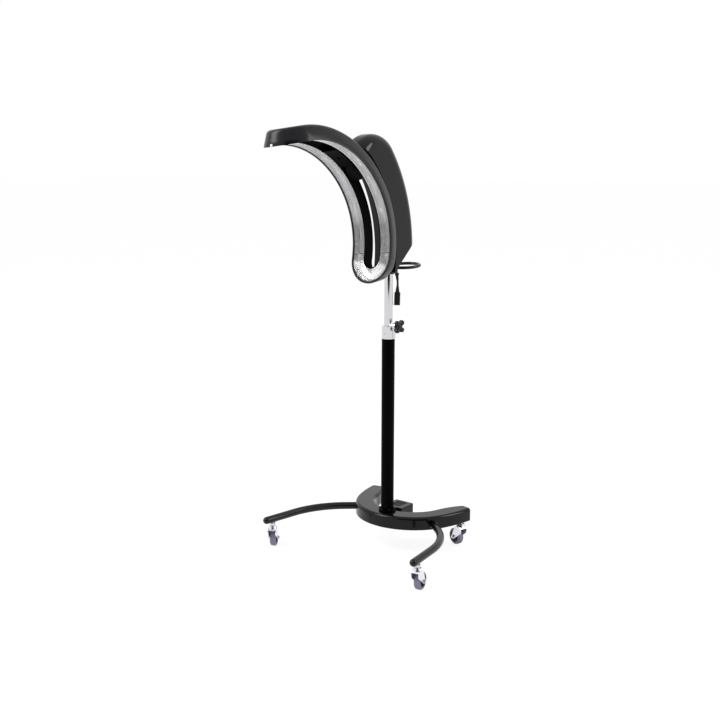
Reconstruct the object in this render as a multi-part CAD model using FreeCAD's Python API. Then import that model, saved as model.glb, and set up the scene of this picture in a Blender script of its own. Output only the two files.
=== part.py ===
import FreeCAD, Part
import math
import os
from FreeCAD import Vector

# Hair colour processor: an orbiting infrared halo on a clamped mast, carried by a
# crescent base with two bent front legs and four swivel castors.
# Millimetres.  +Z is up, +X points to the rear (the operator's side), -X to the client.
# The origin lies on the floor, on the axis of the column.

# ---------------------------------------------------------------- castors
wheel_radius = 25.0
wheel_width = 19.0
tyre_thickness = 7.0
tread_rounding = 5.5
hub_web = 7.0
hub_rim_inset = 1.5
hub_rim_thickness = 2.5
hub_boss_radius = 7.5
hub_boss_width = 20.0
axle_radius = 4.0
axle_head_radius = 6.0
axle_head_height = 1.8
castor_trail = 19.0
fork_wall = 2.6
fork_nose_radius = 15.0
fork_eye_radius = 6.8
fork_crown_bottom = 56.0
fork_crown_height = 9.0
raceway_radius = 13.0
raceway_height = 4.0
raceway_taper = 1.5
stem_radius = 5.0
stem_head_radius = 8.0
stem_head_height = 3.0
stem_flange_radius = 8.5
stem_flange_height = 2.5
front_castor_x = -217.0
front_castor_y = 264.0
rear_castor_x = 146.0
rear_castor_y = 166.0
front_left_angle = 32.0
front_right_angle = 10.0
rear_right_angle = 72.0
rear_left_angle = 35.0

# ---------------------------------------------------------------- crescent base
base_bottom = 77.6
cover_crown = 9.0
cover_wall = 3.0
plate_clearance = 1.5
edge_rounding = 2.0
crescent_centre_x = 127.0
crescent_outer_radius = 173.0
crescent_inner_radius = 113.0
outer_arc_angle = 112.0
inner_arc_angle = 105.0
arm_outer_tip_x = 173.0
arm_outer_tip_y = 187.0
arm_inner_tip_x = 181.0
arm_inner_tip_y = 152.0
arm_corner_radius = 12.0
tail_length = 77.0
tail_half_width = 33.0
tail_root = 25.0
tail_front_gap = 9.0
tail_rise = 3.5
tail_corner_radius = 7.0
tail_recess_depth = 2.5
tail_recess_length = 40.0
tail_recess_half_width = 17.0
tail_recess_shift = 6.0
plate_thickness = 12.0
stem_boss_radius = 10.0

# ---------------------------------------------------------------- front legs
leg_radius = 11.0
leg_wall = 1.5
leg_lift = 0.8
leg_overhang = 22.0
leg_toe_angle = 8.0
leg_straight = 108.0
leg_bend_radius = 230.0
leg_bend_angle = 42.0
leg_root = 88.0
cap_skirt = 14.0
cap_flat_depth = 1.0
pipe_clearance = 0.3

# ---------------------------------------------------------------- column and clamp
column_radius = 19.0
column_wall = 2.0
column_top = 634.0
foot_flange = 6.5
foot_height = 6.0
foot_screw_count = 6
foot_screw_radius = 2.6
foot_screw_height = 1.8
foot_screw_first_angle = 170.0
collar_height = 37.0
collar_spigot = 30.0
clamp_rise = 38.0
clamp_boss_radius = 8.5
clamp_boss_reach = 27.0
clamp_web_width = 8.0
clamp_web_reach = 23.0
clamp_web_gap = 3.0
set_screw_radius = 2.5
set_screw_rise = 16.0
clamp_screw_radius = 4.0
pad_length = 4.0
pad_socket_radius = 2.0
pad_socket_depth = 2.5
knob_standoff = 29.5
knob_thickness = 13.0
knob_hub_radius = 8.5
knob_hub_length = 16.0
knob_face = 4.0
knob_arm_reach = 15.5
knob_arm_radius = 5.5
knob_arm_half_width = 4.0

# ---------------------------------------------------------------- mast
mast_radius = 12.5
mast_wall = 1.5
mast_length = 575.0
bush_length = 44.0
mast_cap_height = 6.0
mast_cap_rim = 2.5
mast_cap_plug = 12.0
running_clearance = 0.05
sliding_clearance = 0.1
seat_gap = 0.2

# ---------------------------------------------------------------- head centre and halo
head_height = 888.0
head_offset_x = 23.5
head_offset_z = 52.5
orbit_angle = 40.9
halo_parking_angle = -6.8
halo_half_angle = 56.3
halo_rim_radius = 245.0
halo_depth = 41.0
halo_half_width = 71.5
halo_back_half_width = 57.0
halo_wall = 2.6
halo_lip = 5.5
halo_lip_thickness = 2.0
halo_lip_height = 3.0
halo_corner = 14.0
slot_half_width = 27.3
slot_back_half_width = 31.0
slot_lip_recess = 3.0
slot_rounding = 2.0
reflector_thickness = 0.8
reflector_clearance = 1.2
reflector_depth = 22.0
reflector_step = 4.0
heater_radius = 5.0
heater_depth = 13.0
heater_end_angle = 3.0
heater_cap_radius = 5.9
heater_cap_angle = 2.8
guard_wire = 1.4
guard_wire_count = 5
guard_first_wire = 34.9
guard_wire_pitch = 6.85
guard_depth = 2.4
guard_slope = 1.5
guard_weld = 0.3
guard_bar_count = 4
guard_bar_width = 2.2
guard_bar_thickness = 1.2
guard_bar_inner_end = 1.6
guard_bar_outer_end = 4.0

# ---------------------------------------------------------------- orbit drive
orbit_shaft_radius = 8.0
shaft_seat_depth = 8.0
shaft_overrun = 10.0
hub_cap_radius = 26.3
hub_cap_rise = 6.0
hub_cap_thickness = 12.0
hub_cap_bevel = 3.0
hub_groove_radii = (19.7, 13.2)
hub_groove_width = 2.0
hub_groove_depth = 1.2
hub_boss_outer = 19.0
carrier_half_length = 30.0
carrier_half_width = 43.0
carrier_thickness = 5.0
carrier_corner = 10.0
carrier_neck_wall = 5.0
carrier_neck_height = 6.0
sensor_angle = 15.5
sensor_half_angle = 8.7
sensor_rise = 1.5
sensor_back_recess = 11.5
sensor_gap = 0.3
sensor_rounding = 3.0
sensor_eye_radius = 5.0
sensor_eye_depth = 2.0
bearing_outer_radius = 14.0
bearing_width = 5.0
motor_radius = 18.5
motor_length = 30.0
motor_recess = 2.0
slip_ring_radius = 17.0
slip_ring_width = 9.0

# ---------------------------------------------------------------- head housing
housing_gap = 19.0
housing_lead = 3.5
housing_depth = 98.2
housing_half_width = 38.0
housing_wall = 3.0
housing_back_rounding = 30.0
housing_nose_radius = 96.3
housing_nose_angle = 38.9
housing_cut_angle = 41.0
housing_cut_x = 53.0
housing_cut_rise = 5.0
panel_depth = 16.0
panel_bottom_angle = 6.0
panel_top_angle = 34.6
panel_gap = 0.4
chassis_plate = 3.0
chassis_half_width = 18.0
chassis_bottom_angle = 2.0
chassis_top_angle = 49.0
chassis_face_gap = 4.0
socket_front_x = -6.0
socket_rear_x = 24.0
socket_drop = 22.0
mast_insertion = 21.0
chassis_clearance = 2.5
motor_plate_clearance = 3.0
motor_plate_thickness = 12.0
motor_plate_half_length = 19.0
motor_bay_clearance = 0.8
chassis_back_gap = 26.0
board_depth = 24.0
board_thickness = 1.6
board_half_length = 68.0
board_half_width = 27.0
board_post_half = 3.0
board_post_spread = 38.0
board_post_height = 10.0
button_radius = 6.5
button_clearance = 0.1
button_proud = 2.5
button_flange_radius = 8.5
button_flange = 2.0
button_rounding = 1.0
button_wall_gap = 0.6
button_stem_radius = 2.5
button_travel = 1.2
button_count = 4
button_first_angle = 10.5
button_pitch_angle = 3.5
switch_height = 0.3
window_angle = 27.5
window_half_angle = 3.0
window_half_width = 17.0
window_thickness = 1.5
window_ledge = 4.0

# ---------------------------------------------------------------- rear ring and pigtail
bracket_wall = 4.0
bracket_drop = 67.0
bracket_height = 12.0
bracket_corner = 4.0
bracket_arm_end = 34.0
bracket_arm_half_width = 9.0
ring_centre_x = 81.0
ring_rise = 17.0
ring_radius = 41.0
ring_tube_radius = 4.5
ring_lift_angle = 4.0
ring_stub_start = 18.0
ring_stub_half_width = 6.0
ring_stub_height = 5.0
gland_radius = 6.0
gland_bore_radius = 3.8
gland_length = 6.0
cable_radius = 3.0
cable_route = ((32.0, -5.5, 0.0), (32.0, -5.5, 8.0), (34.2, -7.0, 24.0), (32.9, -7.5, 38.0))
connector_neck_length = 17.0
connector_neck_radius = 6.0
connector_length = 38.0
connector_width = 17.0
connector_depth = 13.0
connector_corner = 4.0
connector_shoulder = 3.0
connector_rim = 2.0
connector_neck_step = 0.6
connector_pin_recess = 5.0

# ---------------------------------------------------------------- worked-out places
Y = Vector(0, 1, 0)
Z = Vector(0, 0, 1)

leg_height = base_bottom + leg_lift + leg_radius
plate_bottom = leg_height + leg_radius
plate_top = plate_bottom + plate_thickness
cover_top = plate_top + seat_gap + cover_wall
cover_shoulder = cover_top - cover_crown
foot_radius = column_radius + foot_flange
foot_screw_ring = column_radius + foot_flange / 2
collar_top = column_top + collar_height
collar_bore = mast_radius + running_clearance
clamp_height = column_top + clamp_rise
set_screw_height = column_top + set_screw_rise
mast_top = head_height + mast_insertion
mast_bottom = mast_top - mast_length
bracket_bottom = head_height - bracket_drop
bracket_radius = mast_radius + bracket_wall

orbit_direction = Vector(math.cos(math.radians(orbit_angle)), 0, math.sin(math.radians(orbit_angle)))
halo_back_radius = halo_rim_radius + halo_depth
heater_offset = (slot_half_width + halo_half_width) / 2
hub_cap_face_radius = halo_rim_radius + hub_cap_rise
sensor_face_radius = halo_rim_radius + sensor_rise
motor_plate_radius = halo_back_radius + housing_gap + housing_wall + motor_plate_clearance

# The housing's front arc passes behind the halo and just in front of the mast.
head_offset = Vector(head_offset_x, 0, head_offset_z)
housing_face_radius = (head_offset + orbit_direction * (halo_back_radius + housing_gap)).Length
housing_back_radius = housing_face_radius + housing_depth
housing_centre = Vector(-housing_face_radius - mast_radius - housing_lead, 0, head_height)
head_centre = housing_centre + head_offset
board_radius = housing_back_radius - board_depth
board_angle = (button_first_angle + window_angle) / 2
button_angles = [button_first_angle + index * button_pitch_angle for index in range(button_count)]
parts = {}


# ---------------------------------------------------------------- shape helpers
def rod(start, end, radius):
    """Solid cylinder between two points."""
    run = end - start
    return Part.makeCylinder(radius, run.Length, start, run)


def tube(start, end, outer, inner):
    """Hollow cylinder between two points."""
    run = end - start
    return rod(start, end, outer).cut(Part.makeCylinder(inner, run.Length, start, run))


def block(x0, x1, y0, y1, z0, z1):
    """Box from its limits."""
    return Part.makeBox(x1 - x0, y1 - y0, z1 - z0, Vector(x0, y0, z0))


def polygon(points):
    """Flat face bounded by straight edges."""
    return Part.Face(Part.makePolygon(list(points) + [points[0]]))


def mirrored(shape):
    """Copy of a shape on the other side of the centre plane."""
    return shape.mirror(Vector(0, 0, 0), Y)


def fused(shapes):
    """One clean solid from touching or overlapping pieces."""
    first, rest = shapes[0], shapes[1:]
    return first.fuse(rest).removeSplitter() if rest else first


def turned(profile, axis_point, axis, angle=360.0):
    """Solid swept by turning a face about an axis."""
    return profile.revolve(axis_point, axis, angle)


def edges_where(shape, test):
    return [edge for edge in shape.Edges if test(edge)]


def middle(edge):
    """Point halfway along an edge."""
    return edge.valueAt((edge.FirstParameter + edge.LastParameter) / 2)


def radial(angle):
    """Unit vector at an elevation angle in the centre plane, away from the client."""
    a = math.radians(angle)
    return Vector(math.cos(a), 0, math.sin(a))


def halo_point(radius, angle, y=0.0):
    """Point at a distance and an elevation angle from the head centre."""
    return head_centre + radial(angle) * radius + Y * y


def housing_point(radius, angle, y=0.0):
    """Point at a distance and an elevation angle from the centre of the housing's arcs."""
    return housing_centre + radial(angle) * radius + Y * y


def orbit_rod(inner, outer, radius):
    """Cylinder on the orbit axis, between two distances from the head centre."""
    return rod(halo_point(inner, orbit_angle), halo_point(outer, orbit_angle), radius)


def orbit_tube(inner, outer, radius, bore):
    return tube(halo_point(inner, orbit_angle), halo_point(outer, orbit_angle), radius, bore)


def button_rod(inner, outer, radius, angle):
    """Cylinder square to the operator's panel."""
    return rod(housing_point(inner, angle), housing_point(outer, angle), radius)


def tilted_block(centre, angle, inner, outer, half_length, half_width):
    """Box whose depth runs along a radial line from a centre."""
    body = block(inner, outer, -half_width, half_width, -half_length, half_length)
    body.rotate(Vector(0, 0, 0), Y * -1, angle)
    body.translate(centre)
    return body


def sector(inner, outer, start, end, half_width, place):
    """Part of a thick cylinder wall, symmetric in Y, about the centre that place measures from."""
    between = (start + end) / 2
    near_start = place(inner, start, -half_width)
    near_end = place(inner, end, -half_width)
    far_start = place(outer, start, -half_width)
    far_end = place(outer, end, -half_width)
    face = Part.Face(Part.Wire([
        Part.makeLine(near_start, far_start),
        Part.Arc(far_start, place(outer, between, -half_width), far_end).toShape(),
        Part.makeLine(far_end, near_end),
        Part.Arc(near_end, place(inner, between, -half_width), near_start).toShape(),
    ]))
    return face.extrude(Y * 2 * half_width)


def rounded_outline(corners, place):
    """Closed wire through (u, v, rounding) corners; place turns (u, v) into a point."""
    spots = [place(u, v) for u, v, rounding in corners]
    edges = []
    ends = []
    for index, (u, v, rounding) in enumerate(corners):
        corner = spots[index]
        back = (spots[index - 1] - corner).normalize()
        ahead = (spots[(index + 1) % len(spots)] - corner).normalize()
        half = back.getAngle(ahead) / 2
        trim = rounding / math.tan(half)
        start = corner + back * trim
        end = corner + ahead * trim
        ends.append((start, end))
        if rounding:
            toward = (back + ahead).normalize()
            through = corner + toward * (rounding / math.sin(half) - rounding)
            edges.append(Part.Arc(start, through, end).toShape())
    for index, (start, end) in enumerate(ends):
        edges.append(Part.makeLine(end, ends[(index + 1) % len(ends)][0]))
    return Part.Wire(Part.__sortEdges__(edges))


def tangent_arc(start, heading, end):
    """Arc that leaves start along heading and arrives at end, and its heading there."""
    chord = end - start
    along = Vector(math.cos(heading), math.sin(heading), 0)
    turn = 2 * math.atan2(along.cross(chord).z, along.dot(chord))
    half = heading + turn / 4
    reach = chord.Length / (2 * math.cos(turn / 4))
    through = start + Vector(math.cos(half), math.sin(half), 0) * reach
    return Part.Arc(start, through, end).toShape(), heading + turn


# ---------------------------------------------------------------- crescent base
def crescent_point(radius, angle, z):
    a = math.radians(angle)
    return Vector(crescent_centre_x + radius * math.cos(a), radius * math.sin(a), z)


def crescent_outline(z):
    """Closed outline of the base seen from above: two concentric arcs with flared arms."""
    half = []
    outer_start = crescent_point(crescent_outer_radius, 180, z)
    outer_end = crescent_point(crescent_outer_radius, outer_arc_angle, z)
    inner_start = crescent_point(crescent_inner_radius, 180, z)
    inner_end = crescent_point(crescent_inner_radius, inner_arc_angle, z)
    outer_tip = Vector(arm_outer_tip_x, arm_outer_tip_y, z)
    inner_tip = Vector(arm_inner_tip_x, arm_inner_tip_y, z)
    half.append(Part.Arc(outer_start, crescent_point(crescent_outer_radius, (180 + outer_arc_angle) / 2, z),
                         outer_end).toShape())
    half.append(tangent_arc(outer_end, math.radians(outer_arc_angle - 90), outer_tip)[0])
    half.append(Part.makeLine(outer_tip, inner_tip))
    half.append(tangent_arc(inner_end, math.radians(inner_arc_angle - 90), inner_tip)[0])
    half.append(Part.Arc(inner_start, crescent_point(crescent_inner_radius, (180 + inner_arc_angle) / 2, z),
                         inner_end).toShape())
    other = [mirrored(edge) for edge in half]
    return Part.Wire(Part.__sortEdges__(half + other))


def crescent_face(z, inset=0.0):
    wire = crescent_outline(z)
    if inset:
        wire = wire.makeOffset2D(-inset, join=2)
    return Part.Face(wire)


def crescent_solid(bottom, top, inset):
    return crescent_face(bottom, inset).extrude(Vector(0, 0, top - bottom))


def rounded_arm_corners(solid, radius):
    corners = edges_where(solid, lambda e: (e.BoundBox.ZLength > 1
                                            and middle(e).x > arm_outer_tip_x - arm_corner_radius))
    return solid.makeFillet(radius, corners)


def rounded_top(solid, radius):
    """Round the rim of a solid's top face."""
    top = solid.BoundBox.ZMax
    return solid.makeFillet(radius, edges_where(solid, lambda e: abs(e.BoundBox.ZMin - top) < 0.01))


def tail_block(inset, top):
    """Raised block behind the column, joined to the crescent's inner edge."""
    inner_edge = crescent_centre_x - crescent_inner_radius
    return block(inner_edge - tail_root + inset, inner_edge + tail_length - inset,
                 -tail_half_width + inset, tail_half_width - inset, base_bottom, top)


def base_cover():
    """Moulded cover: crowned crescent with the raised tail, open underneath."""
    body = rounded_arm_corners(crescent_solid(base_bottom, cover_top, 0), arm_corner_radius)
    body = rounded_top(body, cover_crown)
    tail_top = cover_top + tail_rise
    tail = tail_block(0, tail_top)
    far = crescent_centre_x - crescent_inner_radius + tail_length
    tail = tail.makeFillet(tail_corner_radius, edges_where(
        tail, lambda e: (e.BoundBox.ZLength > 1 and middle(e).x > far - 1)))
    tail = tail.makeFillet(edge_rounding, edges_where(
        tail, lambda e: abs(middle(e).z - tail_top) < 0.01))
    front_of_tail = column_radius + tail_front_gap
    tail = tail.cut(block(-tail_length, front_of_tail, -tail_half_width - 1, tail_half_width + 1,
                          cover_shoulder, tail_top + 1))
    body = body.fuse(tail)
    hollow = rounded_arm_corners(crescent_solid(base_bottom - 1, plate_top + seat_gap, cover_wall),
                                 arm_corner_radius - cover_wall)
    hollow = rounded_top(hollow, cover_crown - cover_wall)
    tail_hollow = tail_block(cover_wall, tail_top - cover_wall - tail_recess_depth)
    tail_hollow.translate(Vector(0, 0, -1))
    body = body.cut(hollow).cut(tail_hollow)
    recess_centre = far - tail_length / 2 + tail_recess_shift
    body = body.cut(block(recess_centre - tail_recess_length / 2, recess_centre + tail_recess_length / 2,
                          -tail_recess_half_width, tail_recess_half_width,
                          tail_top - tail_recess_depth, tail_top + 1))
    body = body.cut(rod(Vector(0, 0, base_bottom), Vector(0, 0, tail_top), column_radius + pipe_clearance))
    for side in (1, -1):
        body = body.cut(leg_solid(side, leg_radius + pipe_clearance))
    return body.removeSplitter()


def base_frame():
    """Cast iron weight plate with the bosses that hold the rear castor stems."""
    inset = cover_wall + plate_clearance
    plate = rounded_arm_corners(crescent_solid(plate_bottom, plate_top, inset), arm_corner_radius - inset)
    shapes = [rounded_top(plate, cover_crown - cover_wall)]
    for side in (1, -1):
        foot = Vector(rear_castor_x, side * rear_castor_y, base_bottom)
        shapes.append(rod(foot, foot + Z * (plate_bottom - base_bottom + 1), stem_boss_radius))
    frame = fused(shapes)
    for side in (1, -1):
        foot = Vector(rear_castor_x, side * rear_castor_y, base_bottom - 1)
        frame = frame.cut(rod(foot, foot + Z * (plate_top - base_bottom + 2), stem_radius))
    return frame


# ---------------------------------------------------------------- front legs
def leg_path(side):
    """Tip, bend start, bend end, root and bend centre of one leg's centreline."""
    toe = math.radians(leg_toe_angle)
    root_angle = math.radians(leg_toe_angle + leg_bend_angle)
    forward = Vector(-math.cos(toe), side * math.sin(toe), 0)
    stem = Vector(front_castor_x, side * front_castor_y, leg_height)
    tip = stem + forward * leg_overhang
    bend_start = tip - forward * leg_straight
    centre = bend_start - Vector(math.sin(toe), side * math.cos(toe), 0) * leg_bend_radius
    bend_end = centre + Vector(math.sin(root_angle), side * math.cos(root_angle), 0) * leg_bend_radius
    root = bend_end + Vector(math.cos(root_angle), -side * math.sin(root_angle), 0) * leg_root
    return tip, bend_start, bend_end, root, centre


def leg_solid(side, radius):
    """Straight toe, one long bend and a straight root inside the crescent."""
    tip, bend_start, bend_end, root, centre = leg_path(side)
    section = Part.Face(Part.Wire(Part.makeCircle(radius, bend_start, bend_start - tip)))
    bend = turned(section, centre, Z * -side, leg_bend_angle)
    return rod(tip, bend_start, radius).fuse([bend, rod(bend_end, root, radius)])


def front_leg(side):
    pipe = leg_solid(side, leg_radius).cut(leg_solid(side, leg_radius - leg_wall))
    stem = Vector(front_castor_x, side * front_castor_y, leg_height - leg_radius - 2)
    return pipe.cut(rod(stem, stem + Z * (leg_radius + 2), stem_radius))


def leg_end_caps():
    """Domed plugs in the open ends of the legs."""
    caps = []
    for side in (1, -1):
        tip, bend_start = leg_path(side)[:2]
        inward = (bend_start - tip).normalize()
        dome = Part.makeSphere(leg_radius, tip)
        dome = dome.cut(rod(tip, tip + inward * 2 * leg_radius, 2 * leg_radius))
        crown = leg_radius - cap_flat_depth
        flattened = dome.cut(rod(tip - inward * crown, tip - inward * 2 * leg_radius, 2 * leg_radius))
        plug = rod(tip - inward * 1, tip + inward * cap_skirt, leg_radius - leg_wall - running_clearance)
        stem = Vector(front_castor_x, side * front_castor_y, leg_height - 2 * leg_radius)
        caps.append(fused([flattened, plug]).cut(rod(stem, stem + Z * 4 * leg_radius, stem_radius + 1)))
    return Part.makeCompound(caps)


# ---------------------------------------------------------------- castors
def castor_places():
    return {
        "front_left": (front_castor_x, front_castor_y, front_left_angle),
        "front_right": (front_castor_x, -front_castor_y, front_right_angle),
        "rear_left": (rear_castor_x, rear_castor_y, rear_left_angle),
        "rear_right": (rear_castor_x, -rear_castor_y, rear_right_angle),
    }


def fork_top():
    return fork_crown_bottom + fork_crown_height + raceway_height


def castor_stem():
    """Stem with a flange under the leg and a riveted head under the fork's crown."""
    crown_bottom = Vector(0, 0, fork_crown_bottom)
    head = rod(crown_bottom - Z * (stem_head_height + seat_gap), crown_bottom - Z * seat_gap, stem_head_radius)
    pin = rod(crown_bottom - Z * (seat_gap + 1), Vector(0, 0, leg_height), stem_radius)
    flange_top = base_bottom - seat_gap
    flange = rod(Vector(0, 0, flange_top - stem_flange_height), Vector(0, 0, flange_top), stem_flange_radius)
    return fused([head, pin, flange])


def castor_fork():
    """Die-cast fork: two tapered cheeks under a crown with a raised raceway."""
    half = hub_boss_width / 2 + sliding_clearance * 2
    outer = half + fork_wall
    crown_top = fork_crown_bottom + fork_crown_height
    axle = Vector(castor_trail, 0, wheel_radius)
    nose = Vector(0, 0, crown_top - fork_nose_radius)
    run = axle - nose
    turn = math.atan2(run.z, run.x)
    lean = math.acos((fork_nose_radius - fork_eye_radius) / run.Length)

    def on_circle(centre, radius, angle):
        return centre + Vector(math.cos(angle), 0, math.sin(angle)) * radius
    upper, lower = turn + lean, turn - lean
    profile = Part.Face(Part.Wire([
        Part.makeLine(on_circle(nose, fork_nose_radius, upper), on_circle(axle, fork_eye_radius, upper)),
        Part.Arc(on_circle(axle, fork_eye_radius, upper), on_circle(axle, fork_eye_radius, turn),
                 on_circle(axle, fork_eye_radius, lower)).toShape(),
        Part.makeLine(on_circle(axle, fork_eye_radius, lower), on_circle(nose, fork_nose_radius, lower)),
        Part.Arc(on_circle(nose, fork_nose_radius, lower), on_circle(nose, fork_nose_radius, turn + math.pi),
                 on_circle(nose, fork_nose_radius, upper)).toShape(),
    ]))
    profile.translate(Vector(0, -outer, 0))
    body = profile.extrude(Vector(0, 2 * outer, 0))
    reach = castor_trail + wheel_radius
    body = body.cut(block(-reach, reach, -half, half, 0, fork_crown_bottom))
    raceway = Part.makeCone(raceway_radius + raceway_taper, raceway_radius - raceway_taper,
                            2 * raceway_height, Vector(0, 0, crown_top - raceway_height), Z)
    body = body.fuse(raceway)
    body = body.cut(rod(Vector(0, 0, 0), Vector(0, 0, fork_top() + 1), stem_radius + running_clearance))
    body = body.cut(rod(axle - Y * (outer + 1), axle + Y * (outer + 1), axle_radius))
    return body.removeSplitter()


def castor_axle():
    axle = Vector(castor_trail, 0, wheel_radius)
    outer = hub_boss_width / 2 + sliding_clearance * 2 + fork_wall
    shapes = [rod(axle - Y * outer, axle + Y * outer, axle_radius)]
    for side in (1, -1):
        face = axle + Y * side * outer
        shapes.append(rod(face, face + Y * side * axle_head_height, axle_head_radius))
    return fused(shapes)


def castor_hub():
    """Spool-shaped wheel centre: rim, recessed web and bearing boss."""
    axle = Vector(castor_trail, 0, wheel_radius)
    rim = wheel_radius - tyre_thickness
    rim_half = wheel_width / 2 - hub_rim_inset
    inner = rim - hub_rim_thickness
    bore = axle_radius + running_clearance
    points = [(bore, -hub_boss_width / 2), (hub_boss_radius, -hub_boss_width / 2),
              (hub_boss_radius, -hub_web / 2), (inner, -hub_web / 2), (inner, -rim_half), (rim, -rim_half),
              (rim, rim_half), (inner, rim_half), (inner, hub_web / 2), (hub_boss_radius, hub_web / 2),
              (hub_boss_radius, hub_boss_width / 2), (bore, hub_boss_width / 2)]
    face = polygon([axle + Vector(r, y, 0) for r, y in points])
    return turned(face, axle, Y)


def castor_tyre():
    axle = Vector(castor_trail, 0, wheel_radius)
    half = wheel_width / 2
    ring = tube(axle - Y * half, axle + Y * half, wheel_radius, wheel_radius - tyre_thickness)
    tread = edges_where(ring, lambda e: e.Curve.TypeId == "Part::GeomCircle"
                        and abs(e.Curve.Radius - wheel_radius) < 0.01)
    return ring.makeFillet(tread_rounding, tread)


def build_castors():
    stems = []
    for name, (x, y, heading) in castor_places().items():
        pieces = {"fork": castor_fork(), "axle": castor_axle(), "hub": castor_hub(), "tyre": castor_tyre()}
        for piece, shape in pieces.items():
            shape.rotate(Vector(0, 0, 0), Z, heading)
            shape.translate(Vector(x, y, 0))
            parts["castor_" + name + "_" + piece] = shape
        stem = castor_stem()
        stem.translate(Vector(x, y, 0))
        stems.append(stem)
    parts["castor_stems"] = Part.makeCompound(stems)


# ---------------------------------------------------------------- column, collar and clamp
def column_foot():
    """Ring flange at the column's foot, drilled for its screws."""
    bottom = Vector(0, 0, cover_top)
    ring = tube(bottom, bottom + Z * foot_height, foot_radius, column_radius)
    top_edge = edges_where(ring, lambda e: e.Curve.TypeId == "Part::GeomCircle"
                           and e.Curve.Radius > column_radius + 1 and middle(e).z > cover_top + 1)
    return ring.makeFillet(edge_rounding, top_edge)


def foot_screws():
    screws = []
    for index in range(foot_screw_count):
        angle = math.radians(foot_screw_first_angle + index * 360 / foot_screw_count)
        place = Vector(foot_screw_ring * math.cos(angle), foot_screw_ring * math.sin(angle),
                       cover_top + foot_height)
        screws.append(rod(place, place + Z * foot_screw_height, foot_screw_radius))
    return Part.makeCompound(screws)


def column_tube():
    return tube(Vector(0, 0, plate_top), Vector(0, 0, column_top), column_radius, column_radius - column_wall)


def mast_collar():
    """Clamp collar: a spigot in the column, a ring flush with it and a boss for the screw."""
    spigot_radius = column_radius - column_wall
    shapes = [rod(Vector(0, 0, column_top - collar_spigot), Vector(0, 0, column_top), spigot_radius),
              rod(Vector(0, 0, column_top), Vector(0, 0, collar_top), column_radius),
              rod(Vector(0, 0, clamp_height), Vector(0, -clamp_boss_reach, clamp_height), clamp_boss_radius),
              block(-clamp_web_width / 2, clamp_web_width / 2, -clamp_web_reach, 0,
                    column_top + clamp_web_gap, clamp_height)]
    collar = fused(shapes)
    collar = collar.cut(rod(Vector(0, 0, column_top - collar_spigot - 1),
                            Vector(0, 0, clamp_height + collar_height), collar_bore))
    collar = collar.cut(rod(Vector(0, 0, clamp_height), Vector(0, -clamp_boss_reach - 1, clamp_height),
                            clamp_screw_radius + running_clearance))
    return collar.cut(rod(Vector(0, 0, set_screw_height), Vector(-column_radius - 1, 0, set_screw_height),
                          set_screw_radius))


def collar_set_screw():
    return rod(Vector(-collar_bore - seat_gap, 0, set_screw_height),
               Vector(-column_radius - 0.6, 0, set_screw_height), set_screw_radius)


def clamp_axis_point(distance):
    return Vector(0, -distance, clamp_height)


def clamp_pad():
    face = mast_radius + sliding_clearance
    pad = rod(clamp_axis_point(face), clamp_axis_point(face + pad_length), clamp_screw_radius)
    back = face + pad_length
    return pad.cut(rod(clamp_axis_point(back - pad_socket_depth), clamp_axis_point(back + 1),
                       pad_socket_radius + running_clearance))


def clamp_screw():
    shoulder = mast_radius + sliding_clearance + pad_length + seat_gap
    tip = rod(clamp_axis_point(shoulder - pad_socket_depth), clamp_axis_point(shoulder + 1),
              pad_socket_radius)
    shank = rod(clamp_axis_point(shoulder), clamp_axis_point(knob_standoff + knob_hub_length - knob_face),
                clamp_screw_radius)
    return fused([tip, shank])


def clamp_knob():
    """Four-armed hand knob with rounded arm ends."""
    front = knob_standoff + knob_hub_length - knob_thickness
    back = knob_standoff + knob_hub_length
    shapes = [rod(clamp_axis_point(knob_standoff), clamp_axis_point(back), knob_hub_radius)]
    for quarter in range(4):
        angle = math.radians(45 + 90 * quarter)
        offset = Vector(math.cos(angle), 0, math.sin(angle)) * knob_arm_reach
        shapes.append(rod(clamp_axis_point(front) + offset, clamp_axis_point(back) + offset, knob_arm_radius))
        arm = block(0, knob_arm_reach, -back, -front, -knob_arm_half_width, knob_arm_half_width)
        arm.rotate(Vector(0, 0, 0), Vector(0, -1, 0), math.degrees(angle))
        arm.translate(Vector(0, 0, clamp_height))
        shapes.append(arm)
    knob = fused(shapes)
    return knob.cut(rod(clamp_axis_point(0), clamp_axis_point(back - knob_face), clamp_screw_radius))


def glide_bush():
    """Nylon bush that guides the mast's lower end inside the column."""
    return tube(Vector(0, 0, mast_bottom), Vector(0, 0, mast_bottom + bush_length),
                column_radius - column_wall - sliding_clearance, mast_radius + running_clearance)


def mast_tube():
    return tube(Vector(0, 0, mast_bottom - 2), Vector(0, 0, mast_top), mast_radius, mast_radius - mast_wall)


def mast_end_cap():
    """Plug that keeps the bush on the mast."""
    rim_top = mast_bottom - 2
    rim = rod(Vector(0, 0, rim_top - mast_cap_height), Vector(0, 0, rim_top), mast_radius + mast_cap_rim)
    plug = rod(Vector(0, 0, rim_top), Vector(0, 0, rim_top + mast_cap_plug),
               mast_radius - mast_wall - running_clearance)
    return fused([rim, plug])


# ---------------------------------------------------------------- halo
def rail_face(section, angle):
    """Cross-section of one rail; its corners are (distance from centre plane, radius, rounding)."""
    return Part.Face(rounded_outline(section, lambda y, radius: halo_point(radius, angle, y)))


def racetrack(section):
    """Sweep a rail section along both rails and round both ends of the halo."""
    low = orbit_angle - halo_half_angle
    high = orbit_angle + halo_half_angle
    rail = turned(rail_face(section, low), head_centre, Y * -1, 2 * halo_half_angle)
    low_turn = turned(rail_face(section, low), head_centre, radial(low) * -1, 180)
    high_turn = turned(rail_face(section, high), head_centre, radial(high), 180)
    return rail.fuse([mirrored(rail), low_turn, high_turn]).removeSplitter()


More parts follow.
